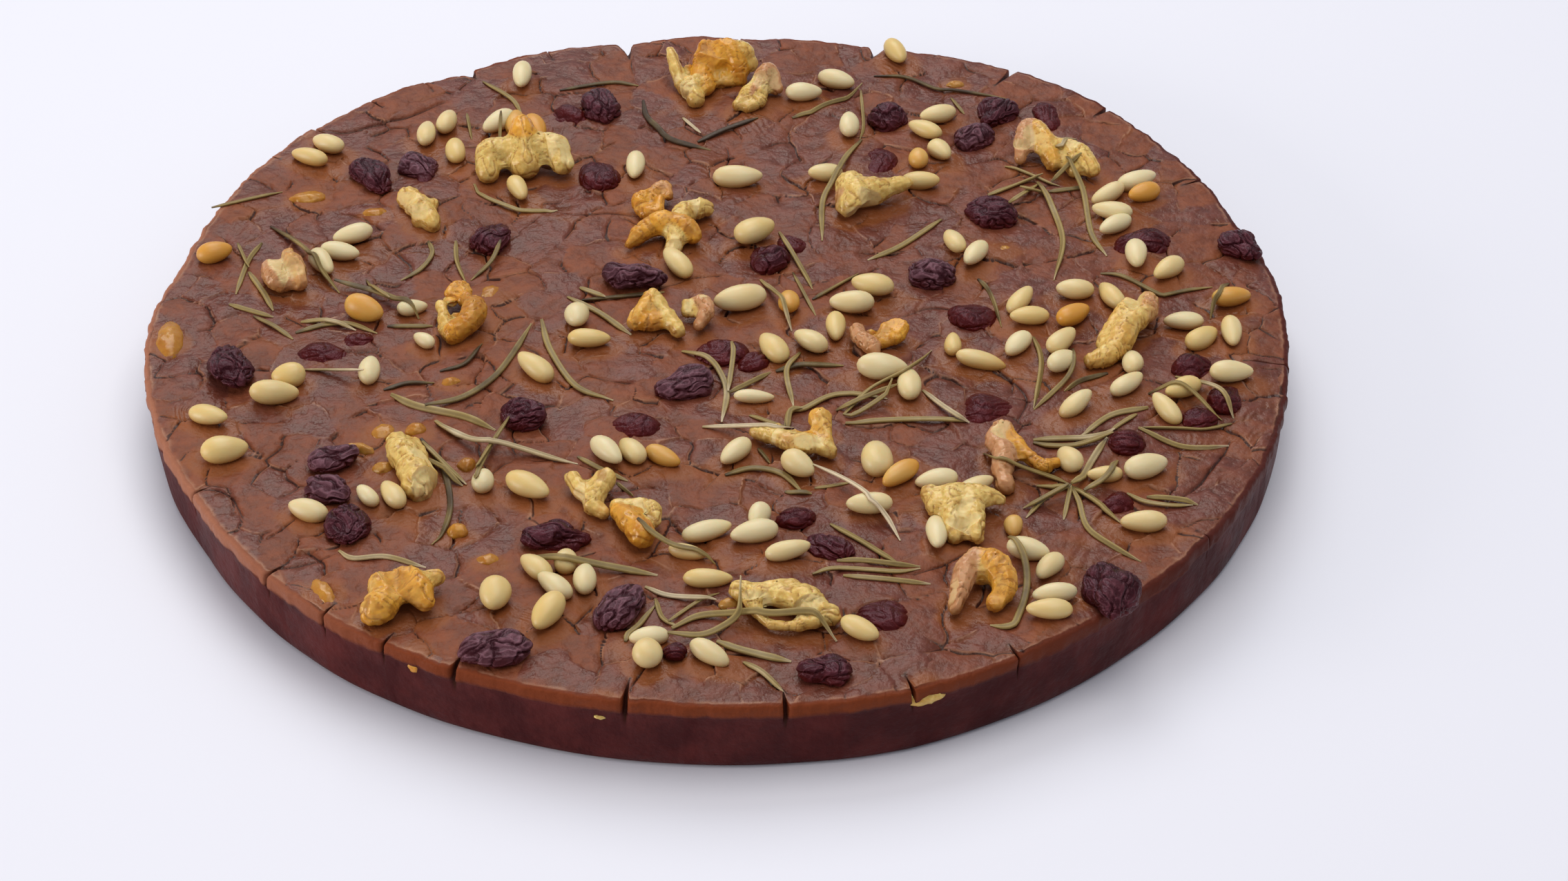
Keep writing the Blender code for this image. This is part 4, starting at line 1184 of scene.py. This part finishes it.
class Arrangement(Tree):
    """Geometry Nodes with named inputs. They run once and leave a plain mesh."""

    def __init__(self, name, **inputs):
        super().__init__(bpy.data.node_groups.new(name, "GeometryNodeTree"))
        self.values = {}
        face = self.nodes.interface
        for title, (kind, value) in {"Base": ("Geometry", None), **inputs}.items():
            socket = face.new_socket(title, in_out="INPUT", socket_type="NodeSocket" + kind)
            if value is not None:
                self.values[socket.identifier] = value
        face.new_socket("Result", in_out="OUTPUT", socket_type="NodeSocketGeometry")
        self.entry = self.nodes.nodes.new("NodeGroupInput")

    def given(self, title):
        return Field(self, self.entry.outputs[title])

    def named(self, name, kind="FLOAT"):
        return self.add("GeometryNodeInputNamedAttribute", {"Name": name}, data_type=kind)

    def strew(self, shape):
        """The shape on every point of the base, by the point's own turn and size, uneven."""
        turn, size = self.named("turn", "FLOAT_VECTOR"), self.named("size", "FLOAT_VECTOR")
        turn = self.add("FunctionNodeEulerToRotation", {"Euler": turn})
        sockets = {"Points": self.given("Base"), "Instance": shape, "Rotation": turn, "Scale": size}
        strewn = self.add("GeometryNodeInstanceOnPoints", sockets)
        strewn = self.add("GeometryNodeRealizeInstances", {"Geometry": strewn})
        spot = self.add("GeometryNodeInputPosition")
        sockets = {"Vector": spot, "Scale": self.given("Grain"), "Detail": self.given("Detail")}
        lumps = self.add("TexNoise", sockets, output="Color")
        centred = self.add("VectorMath", {0: lumps, 1: (0.5, 0.5, 0.5)}, operation="SUBTRACT")
        sockets = {0: centred, "Scale": self.given("Unevenness")}
        push = self.add("VectorMath", sockets, operation="SCALE")
        return self.add("GeometryNodeSetPosition", {"Geometry": strewn, "Offset": push})

    def run(self, name, base, result):
        """The plain mesh that the nodes make from a base mesh."""
        whole = self.add("GeometryNodeRealizeInstances", {"Geometry": result})
        sockets = {"Geometry": whole, "Material": self.given("Finish")}
        ending = self.add("GeometryNodeSetMaterial", sockets)
        self.nodes.links.new(ending.socket, self.nodes.nodes.new("NodeGroupOutput").inputs[0])
        carrier = placed(name, base)
        step = carrier.modifiers.new("arrange", "NODES")
        step.node_group = self.nodes
        for identifier, value in self.values.items():
            step[identifier] = value
        graph = bpy.context.evaluated_depsgraph_get()
        shape = carrier.evaluated_get(graph)
        settings = {"preserve_all_data_layers": True, "depsgraph": graph}
        mesh = bpy.data.meshes.new_from_object(shape, **settings)
        carrier.modifiers.remove(step)
        bpy.data.objects.remove(carrier)
        return mesh


class Ground:
    """What lies on the cake so far, as heights in mm over its underside."""

    def __init__(self, pieces):
        graph = bpy.context.evaluated_depsgraph_get()
        self.trees = [BVHTree.FromObject(piece, graph) for piece in pieces]

    def height(self, x, y):
        start = Vector((x, y, 60)) * MM
        hits = [tree.ray_cast(start, Vector((0, 0, -1)))[0] for tree in self.trees]
        return max((hit.z / MM for hit in hits if hit), default=TOP)


def nut_points():
    """Middles, turns, half sizes and toast of the pine nuts."""
    draw = np.random.default_rng(71)
    crust = Ground([cake])
    rows = []
    for x, y, turn, *own in PINE_NUTS:
        length, width, toast = (*own, *(PINE_LENGTH, PINE_WIDTH, None)[len(own):])
        if toast is None:
            toast = draw.uniform(0.05, 0.5)
        width *= draw.uniform(0.94, 1.06)
        length *= draw.uniform(0.95, 1.05)
        facing = turn if draw.random() < 0.5 else turn + 180
        half = np.array((length, width, width * PINE_FLATNESS)) / 2
        height = crust.height(x, y) + half[2] * (1 - PINE_SUNK * draw.uniform(0.6, 1.6))
        pitch = draw.normal(0, 0.09)
        rows.append((x, y, height, draw.normal(0, 0.3), pitch, math.radians(facing), *half, toast))
        stain = 0.9 if draw.random() < 0.7 else 0.3
        settle(x, y, *half[:2] * 0.9, turn, lift=0.3, reach=1.1, stain=stain)
    return np.array(rows)


def nut_mesh(rows, finish):
    """A drop on every point: a ball that tapers towards one end."""
    facts = {"turn": rows[:, 3:6], "size": rows[:, 6:9] * MM, "toast": rows[:, 9]}
    base = as_mesh("nut_points", rows[:, :3], **facts)
    layout = Arrangement(
        "pine nuts",
        Finish=("Material", finish),
        Taper=("Float", 0.28),
        Grain=("Float", 160.0),
        Detail=("Float", 0.0),
        Unevenness=("Float", 0.5 * MM),
    )
    spot = layout.add("GeometryNodeInputPosition")
    across = layout.add("SeparateXYZ", {"Vector": spot})
    narrow = 1 - layout.given("Taper") * (across * 0.5 + 0.5)
    slim = layout.add("CombineXYZ", {"X": 1.0, "Y": narrow, "Z": narrow})
    drop = layout.add("VectorMath", {0: spot, 1: slim}, operation="MULTIPLY")
    nut = layout.add("GeometryNodeMeshIcoSphere", {"Radius": 1.0, "Subdivisions": 3})
    nut = layout.add("GeometryNodeSetPosition", {"Geometry": nut, "Position": drop})
    return layout.run("pine_nuts", base, layout.strew(nut))


def pine_finish():
    """Smooth oily kernel, cream to yellow, with a waxy light in it, and painted shade at its foot."""
    made = Finish("pine nut", Specular_IOR_Level=0.45, Subsurface_Weight=0.2, Subsurface_Scale=3 * MM)
    toast = made.attribute("toast")
    cloud = made.noise(4, 2)
    yellow = (toast + (cloud - 0.5) * 0.5).above(0.0, 0.6)
    colour = made.blend(yellow, (0.72, 0.61, 0.34), (0.68, 0.48, 0.16))
    colour = made.blend((toast + (cloud - 0.5) * 0.4).above(0.6, 1.0), colour, (0.62, 0.29, 0.035))
    # Painted shade, dark amber, low on the nut where it sits in the dough.
    height = made.along("Z")
    foot = 1 - (height + (cloud - 0.5) * 0.001).above(TOP * MM, (TOP + 2.8) * MM)
    colour = made.blend(foot * 0.8, colour, (0.46, 0.22, 0.035))
    return made.finish(colour, 0.4 + (made.noise(2, 2) - 0.5) * 0.15, made.noise(1.2, 2), 0.06)


pine_nuts = in_scene("pine_nuts", nut_mesh(nut_points(), pine_finish()))
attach(pine_nuts, "root")


# Rosemary: stiff dried needles and two short sprigs, strewn last, so that they lie over
# the nuts and raisins and over each other. Each is a slim blade along a path read off the
# cake, and it is dropped until it touches what is under it.

# Half width, tone (0 dark, 0.5 olive, 1 pale) and the path as it shows from the front.
NEEDLES = (
    (0.53, 0.5, (-122, 46), (-106, 53)),
    (0.58, 0.4, (-61, 103), (-53.5, 95), (-50.5, 88)),
    (0.44, 0.4, (-64, 88), (-62, 76)),
    (0.44, 0.4, (-55, 82), (-55, 71.5)),
    (0.58, 0.5, (-60, 60), (-55, 53.5), (-42.5, 46), (-39.6, 45)),
    (0.71, 0.1, (-20.6, 94), (-19.6, 87), (-17, 82), (-13, 76), (-3.5, 71.5)),
    (0.71, 0.1, (-6.7, 75), (-0.3, 80.6), (8, 86)),
    (0.44, 0.9, (-10.6, 86), (-6, 79)),
    (0.58, 0.4, (16.5, 86), (20.4, 93), (26, 98), (34, 102)),
    (0.42, 0.4, (33.6, 99), (34, 83), (33, 76)),
    (0.71, 0.4, (33.3, 76), (29.4, 68), (26, 57), (23.6, 48), (23.4, 32)),
    (0.58, 0.1, (37, 105.6), (44.9, 105), (52.5, 99.6), (57.7, 98.7), (69.6, 94.7)),
    (0.58, 0.1, (-41.5, 98.6), (-29, 102.5), (-22, 101)),
    (0.58, 0.5, (68, 64), (80.7, 61)),
    (0.58, 0.5, (78.8, 61), (86, 70)),
    (0.58, 0.6, (80, 71.5), (86, 76)),
    (0.63, 0.4, (63.3, 51.5), (76.8, 60.6)),
    (0.58, 0.5, (67.8, 47.7), (76, 58.6)),
    (0.58, 0.5, (71, 55), (78, 52)),
    (0.58, 0.4, (78, 53), (87, 55)),
    (0.74, 0.4, (75.5, 57), (78, 48), (80, 32), (77, 15.7)),
    (0.71, 0.5, (82.6, 62), (86, 52), (87, 35), (90, 25.7)),
    (0.44, 0.4, (56, 95.4), (59, 87.7)),
    (0.71, 0.3, (-107, 38), (-100.6, 32), (-95.4, 25), (-92.8, 17.7), (-88.3, 10.6)),
    (0.58, 0.4, (-108.3, 31), (-110.6, 23.5), (-112, 10)),
    (0.44, 0.4, (-114, 31), (-110, 21)),
    (0.71, 0.4, (-110, 19), (-105.7, 11), (-102.8, 3.5)),
    (0.58, 0.5, (-113, 6), (-102.5, 1)),
    (0.58, 0.4, (-107, 2.8), (-102, -1.7), (-97, -7.8)),
    (0.63, 0.4, (-96.7, -5.2), (-90.3, -2), (-84.5, -1.7), (-78, -5.5)),
    (0.58, 0.6, (-96, -1), (-90, 0.3), (-83, 0.3)),
    (0.71, 0.3, (-89.6, 13.8), (-80, 10.6), (-73.5, 4.8), (-69, 0.3)),
    (0.44, 0.5, (-82.5, 15.7), (-76, 8.6)),
    (0.58, 0.2, (-76, -2.6), (-65.7, -2.6)),
    (0.58, 0.4, (-69.3, 35.7), (-68, 27.4), (-70.3, 20.3), (-74.5, 15.7)),
    (0.58, 0.4, (-62.8, 32), (-62, 23.5), (-59.3, 14.5)),
    (0.58, 0.3, (-52, 32), (-54, 23.5), (-58.3, 15.7)),
    (0.53, 0.7, (-93.5, -19.4), (-79.3, -20)),
    (0.84, 0.5, (-73, -28.8), (-67, -33), (-56, -37), (-49, -42)),
    (0.71, 0.5, (-65, -32.6), (-57.4, -30), (-51, -23), (-47, -14), (-43.2, -1.7)),
    (0.58, 0.1, (-62.8, -20), (-57.4, -17), (-54, -9.4)),
    (0.58, 0.1, (-74.8, -27), (-69.6, -24.3), (-63.8, -24.6)),
    (0.58, 0.4, (-62.5, -38.5), (-56, -45)),
    (0.58, 0.5, (-46, -37), (-49.6, -48), (-52.2, -62)),
    (0.58, 0.4, (13.3, 35.7), (16.5, 26.7), (19.7, 17), (21, 12)),
    (0.44, 0.4, (16.5, 19), (21.7, 1.5)),
    (0.58, 0.3, (21, 8), (26, 13), (31.7, 18.3)),
    (0.58, 0.6, (9, 16), (12.6, 8), (16.2, -4.6)),
    (0.63, 0.1, (-32.2, 7.7), (-13.2, 11)),
    (0.58, 0.5, (-32.8, 12.8), (-26.7, 9)),
    (0.71, 0.5, (-35.4, 9), (-28, 2.8), (-20.3, -6)),
    (0.74, 0.5, (-41, 0), (-38.3, -12), (-32, -25.5), (-23.5, -31)),
    (0.71, 0.7, (-8.6, -8.8), (-2.8, -14), (0, -19.7), (1.7, -28), (0.7, -39)),
    (0.58, 0.5, (2.6, -8.8), (3, -13.3), (2, -27.5)),
    (0.58, 0.4, (2.3, -28), (11.4, -20.4)),
    (0.76, 0.3, (12.6, -20), (18.2, -17.4), (27.8, -17.9)),
    (0.63, 0.5, (18, -13), (15, -19.7), (16.5, -33)),
    (0.73, 0.5, (14.6, -41.2), (15.9, -34.9), (18.9, -33.9), (24.3, -29), (29.7, -26.5), (37.4, -23.9)),
    (0.64, 0.4, (27.6, -36.2), (33.5, -26.5), (41.4, -19.5), (45.3, -15.5), (47.8, -12.1)),
    (0.58, 0.5, (26, -34.6), (32.6, -29.4), (39.7, -25)),
    (0.58, 0.4, (27.8, -35.9), (38.5, -26.8)),
    (0.63, 0.6, (15.2, -41), (15.9, -34.6), (18.5, -33.6)),
    (0.58, 0.8, (-3.5, -40.7), (16.5, -41)),
    (0.71, 0.6, (28, -37.8), (48, -37.8), (55, -38.8)),
    (0.58, 0.9, (45.3, -27.2), (50.1, -33.6), (55.2, -39.2)),
    (0.58, 0.5, (6.8, -36.5), (15.2, -40.4)),
    (0.71, 0.4, (51.7, 41), (42, 30), (34, 24)),
    (0.53, 0.4, (59.4, 21), (62, 11), (64, -3)),
    (0.71, 0.5, (71, -3.6), (72.3, -16.5), (69.7, -34)),
    (0.58, 0.4, (79.7, -11.4), (78, -21.7), (69.7, -34)),
    (0.58, 0.4, (87, -20.7), (80.7, -23.6), (76.8, -27.5)),
    (0.58, 0.4, (88, 18.5), (92.5, 18.8), (99.5, 15.5), (106.5, 14), (113.6, 13)),
    (0.58, 0.3, (117.5, 14.5), (113.6, 9.3), (112, 0.3)),
    (0.58, 0.5, (102, -21), (110.4, -26), (113.6, -34.6)),
    (0.58, 0.4, (95.5, -28.5), (104, -29.4), (111, -35)),
    (0.58, 0.5, (113, -35), (106, -39), (92.3, -41)),
    (0.71, 0.5, (95, -33.6), (86.5, -36.5), (79.4, -44.3)),
    (0.58, 0.5, (92.3, -35), (86, -42.3)),
    (0.84, 0.5, (69, -45.5), (83, -43.6), (87, -41)),
    (0.58, 0.4, (92.3, -41), (101.4, -47.8), (111.7, -47.8)),
    (0.71, 0.15, (-65, -45), (-59.6, -55), (-57, -68), (-58, -78), (-60, -82)),
    (0.63, 0.6, (-64.5, -46), (-54, -61.4)),
    (0.58, 0.5, (-63, -50), (-54.8, -60.7)),
    (0.44, 0.5, (-48.6, -44), (-52.2, -56.8)),
    (0.58, 0.6, (-79.3, -84), (-76, -86.5), (-69, -86), (-60.6, -89.7)),
    (0.82, 0.75, (-62.2, -39), (-54.2, -45), (-48.1, -46), (-41.9, -48.9), (-36.2, -51.8),
     (-30.4, -54.2)),
    (0.84, 0.4, (-39.6, -83.6), (-32, -86), (-22, -89), (-12, -92.3)),
    (0.63, 0.4, (-16.4, -73), (-9.3, -81.4), (-2.8, -84.6), (0, -88.5)),
    (0.58, 0.4, (-30.5, -51.5), (-24.9, -56), (-19.3, -60.2)),
    (0.42, 0.3, (-21.7, -60.7), (-17.9, -65.5)),
    (0.71, 0.4, (1.7, -58), (7.5, -55), (14, -55), (18.5, -58)),
    (0.58, 0.4, (14.6, -57.8), (20.4, -64.6)),
    (0.42, 0.4, (21, -62.6), (28.8, -60.7)),
    (0.53, 0.5, (8.8, -48.5), (11.4, -53.6)),
    (0.58, 0.95, (20.7, -51), (31.4, -63.6), (36, -72.3), (39, -80.7)),
    (0.7, 0.5, (24.3, -75), (31, -81), (38.5, -88.5)),
    (0.58, 0.5, (25.5, -86.5), (32.6, -87.2), (43, -89.4)),
    (0.58, 0.5, (20.4, -91.7), (26, -89.7), (43, -89.7)),
    (0.58, 0.5, (26.8, -92.3), (36.5, -93.6), (45, -95.2)),
    (0.63, 0.5, (-18, -113.6), (-17, -107), (-12.2, -102)),
    (0.58, 0.5, (-12.2, -100), (-10.6, -106), (-7.4, -108.8)),
    (0.77, 0.6, (-8.6, -108.8), (-2.8, -105.5), (5.5, -106.5), (11.4, -108.5), (19.7, -109),
     (25.2, -113.6)),
    (0.71, 0.5, (-9.3, -110.4), (-2.8, -111.4), (1.7, -109), (4.9, -105), (5.5, -98.8)),
    (0.42, 0.5, (-9.3, -107), (-2.8, -100), (1, -98)),
    (0.58, 0.8, (-14.5, -96), (-9.3, -98.8), (0.4, -99.4)),
    (0.84, 0.5, (0.7, -113.3), (5.5, -116), (15.9, -120)),
    (0.71, 0.5, (6.2, -120), (10, -123), (14.3, -129)),
    (0.58, 0.5, (58, -50.4), (64.6, -55.5), (72, -58.8), (75.8, -61)),
    (0.78, 0.5, (68.8, -62), (73, -60.4), (76.8, -62), (81.4, -67), (86, -74.6)),
    (0.63, 0.4, (76, -61.4), (77.5, -67), (78.8, -76), (83.3, -82), (89.4, -87.8)),
    (0.53, 0.4, (76, -61.6), (74, -73.6)),
    (0.58, 0.4, (75.8, -61.4), (70.4, -66), (66, -73)),
    (0.58, 0.4, (75.4, -61), (65.5, -69.7)),
    (0.78, 0.5, (76.2, -60.7), (80.7, -52.3), (85.2, -44.6)),
    (0.71, 0.4, (78.8, -63.3), (83.3, -58.8), (87, -51)),
    (0.76, 0.5, (69, -45.5), (78, -46.2), (86.5, -42.6)),
    (0.58, 0.5, (88, -64), (91.7, -67), (97.5, -68.5), (102, -68.5)),
    (0.58, 0.5, (92.3, -60.7), (97.5, -64.6), (103, -68.5)),
    (0.76, 0.5, (61.7, -83.3), (64.6, -89), (64.6, -95.5), (60.7, -103), (56.8, -108.5)),
)
# The paths are read as if they lay this high over the crust, along sight lines of this slope.
READ_LEVEL = 2.0
SIGHT_SLOPE = 1 / math.tan(ELEVATION)
# Spacing of a needle's points, and how often they are evened out where it spans a dip.
NEEDLE_STEP = 1.0
NEEDLE_SETTLES = 60
BLADE_SIDES = 12
BLADE_FLATNESS = 0.7


def rest_height(place, girth, ground, laid):
    """How high a needle lies if it touches what is under each of its points."""
    under = np.array([ground.height(x, y) for x, y in place.tolist()])
    if len(laid):
        gap = np.linalg.norm(place[:, None] - laid[None, :, :2], axis=2)
        touch = gap < laid[None, :, 3] + girth[:, None]
        over = np.where(touch, laid[None, :, 2] + laid[None, :, 3] * BLADE_FLATNESS, 0).max(1)
        under = np.maximum(under, over)
    return under + girth * BLADE_FLATNESS * 0.8


def bridged(floor):
    """A stiff line over a floor of heights, straight where it spans a dip."""
    height = floor.copy()
    for _ in range(NEEDLE_SETTLES):
        middle = (height[:-2] + height[2:]) / 2
        height[1:-1] = np.maximum(floor[1:-1], middle)
        height[0] = max(floor[0], 2 * height[1] - height[2])
        height[-1] = max(floor[-1], 2 * height[-2] - height[-3])
    return height


def needle_lines():
    """Paths that rest on the cake's toppings and on the needles strewn before them."""
    ground = Ground([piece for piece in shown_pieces() if "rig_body" in piece])
    draw = np.random.default_rng(83)
    laid = np.empty((0, 4))
    links, tones, twists = [], [], []
    for half, tone, *path in NEEDLES:
        line = smooth_path(path, NEEDLE_STEP)
        count = len(line)
        share = np.linspace(0, 1, count)
        girth = half * np.minimum(1, 0.5 + 3 * share) * np.clip((1 - share) * 5, 0.12, 1) ** 0.6
        height = np.full(count, READ_LEVEL + TOP)
        # A point that comes to rest higher than it was read lies nearer to the front.
        for _ in range(3):
            forward = (READ_LEVEL + TOP - height) * SIGHT_SLOPE
            place = line + np.column_stack((np.zeros(count), forward))
            height = bridged(rest_height(place, girth, ground, laid))
        links += [(index, index + 1) for index in range(len(laid), len(laid) + count - 1)]
        laid = np.vstack((laid, np.column_stack((place, height, girth))))
        shade = tone + draw.normal(0, 0.08)
        tones.append(shade + 0.25 * ease(share, 0.85, 1.0) - 0.2 * ease(share, 0.15, 0.0))
        twists.append(draw.normal(0, 0.3) + draw.normal(0, 0.6) * share)
    facts = {"tone": np.concatenate(tones), "twist": np.concatenate(twists)}
    return as_mesh("needle_lines", laid[:, :3], links=links, girth=laid[:, 3] * MM, **facts)


def needle_mesh(base, finish):
    """A flat blade with a groove along its upper side, swept along every line."""
    layout = Arrangement(
        "rosemary",
        Finish=("Material", finish),
        Sides=("Int", BLADE_SIDES),
        Flatness=("Float", BLADE_FLATNESS),
        Groove=("Float", 0.35),
    )
    lines = layout.add("GeometryNodeMeshToCurve", {"Mesh": layout.given("Base")})
    lines = layout.add("GeometryNodeSetCurveNormal", {"Curve": lines}, mode="Z_UP")
    lines = layout.add("GeometryNodeSetCurveTilt", {"Curve": lines, "Tilt": layout.named("twist")})
    sockets = {"Resolution": layout.given("Sides"), "Radius": 1.0}
    ring = layout.add("GeometryNodeCurvePrimitiveCircle", sockets)
    around = layout.add("GeometryNodeSplineParameter")
    sockets = {"Geometry": ring, "Name": "around", "Value": around}
    ring = layout.add("GeometryNodeStoreNamedAttribute", sockets, data_type="FLOAT")
    spot = layout.add("GeometryNodeInputPosition")
    across = layout.add("SeparateXYZ", {"Vector": spot})
    upward = layout.add("SeparateXYZ", {"Vector": spot}, output="Y")
    groove = (1 - across * across * 2.5).above(0, 1) * upward.above(0, 0.5) * layout.given("Groove")
    level = groove - upward * layout.given("Flatness")
    section = layout.add("CombineXYZ", {"X": across * -1.0, "Y": level})
    ring = layout.add("GeometryNodeSetPosition", {"Geometry": ring, "Position": section})
    sockets = {"Curve": lines, "Profile Curve": ring, "Scale": layout.named("girth"), "Fill Caps": True}
    return layout.run("rosemary", base, layout.add("GeometryNodeCurveToMesh", sockets))


def needle_finish():
    """Dried leaf: dull olive, browned here and there, straw at the tips, with painted shade in its
    groove and on its underside.
    """
    made = Finish("rosemary needle", Specular_IOR_Level=0.3)
    tone, around = map(made.attribute, ("tone", "around"))
    cloud, fine = made.noise(4, 3), made.noise(0.8, 3)
    shade = tone + (cloud - 0.5) * 0.7
    colour = made.blend(shade.above(0.0, 0.5), (0.046, 0.026, 0.012), (0.32, 0.225, 0.070))
    colour = made.blend(shade.above(0.5, 1.05), colour, (0.68, 0.55, 0.35))
    # Painted shade in the groove along the middle of the upper side, and painted shade on the underside.
    groove_shade = around - 0.25
    colour = made.blend((1 - groove_shade * groove_shade * 120).above(0.2, 0.9) * 0.35, colour, (0.085, 0.055, 0.022))
    shaded_underside = around - 0.75
    colour = made.blend((1 - shaded_underside * shaded_underside * 18).above(0, 1) * 0.5, colour, (0.15, 0.105, 0.04))
    return made.finish(colour, 0.48 + (fine - 0.5) * 0.25, fine, 0.15)


rosemary = in_scene("rosemary", needle_mesh(needle_lines(), needle_finish()))
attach(rosemary, "root")


# Crumbs: bits of walnut that broke off the larger pieces and sank into the dough. They only
# just show in the crust, at the rim and in the side, and are all one piece.

# Place and height over the crust, then three sizes, turn and how toasted.
CRUMBS = (
    (-5.7, 119.5, 0.2, 4, 3, 2.6, 0, 0.9), (-53.5, 13, -1.0, 9, 5, 3, 80, 0.8),
    (-125.2, -4.5, -1.3, 15, 7, 4.5, 94, 0.9), (-81.2, -94.7, -1.7, 11, 5, 5, -60, 1.0),
    (-66.4, -39.4, -0.3, 5, 4, 3.4, 20, 0.9), (-73.5, -39, -1.0, 6, 5, 2.8, 60, 0.8),
    (-60, -21, -0.9, 5, 3.5, 2.8, 30, 0.9), (-83, 47, -0.9, 6, 4, 2.8, 10, 0.8),
    (-78, -45.5, -0.6, 7, 2.5, 2.8, -25, 0.4), (-72.5, -52.6, -0.6, 5, 4, 2.8, 0, 0.5),
    (-54.5, -52.3, 0.0, 4.5, 4, 3.5, 80, 1.4), (-47.7, -84, -0.8, 5, 3.5, 2.8, 10, 0.9),
    (-54.8, -74.8, -0.3, 4.6, 4, 3.4, 0, 0.7), (3, -98.8, -0.4, 4.5, 3, 2.8, 0, 0.4),
    (57.3, 104.6, -0.8, 5, 3, 2.8, 0, 0.6), (66, 31, -1.0, 5, 3.5, 2.8, 20, 0.6),
    (-100, 54, -1.0, 9, 5, 2.8, 10, 0.8), (-61.2, -113, -4.2, 3, 4, 4.2, 30, 0.9),
    (43, -123.6, -4.0, 8.5, 3.2, 3.0, 18, 0.3), (-22.1, -127.4, -5.6, 3.4, 1.8, 1.4, 5, 0.2),
)


def crumb_mesh(finish):
    """A broken lump on every point."""
    rows = np.array(CRUMBS)
    none = np.zeros(len(rows))
    turn = np.column_stack((none, none, np.radians(rows[:, 6])))
    facts = {"turn": turn, "size": rows[:, 3:6] / 2 * MM, "toast": rows[:, 7]}
    base = as_mesh("crumb_points", rows[:, :3] + (0, 0, TOP), **facts, skin=none, furrow=none + 1)
    layout = Arrangement(
        "crumbs",
        Finish=("Material", finish),
        Grain=("Float", 420.0),
        Detail=("Float", 2.0),
        Unevenness=("Float", 1.2 * MM),
    )
    lump = layout.add("GeometryNodeMeshIcoSphere", {"Radius": 1.0, "Subdivisions": 4})
    return layout.run("walnut_crumbs", base, layout.strew(lump))


crumbs = in_scene("walnut_crumbs", crumb_mesh(kernel))
for x, y, height, length, width, *_ in CRUMBS:
    settle(x, y, width / 2, width / 2, 0, lift=0.15, reach=1.2, stain=0.9)
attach(crumbs, "root")
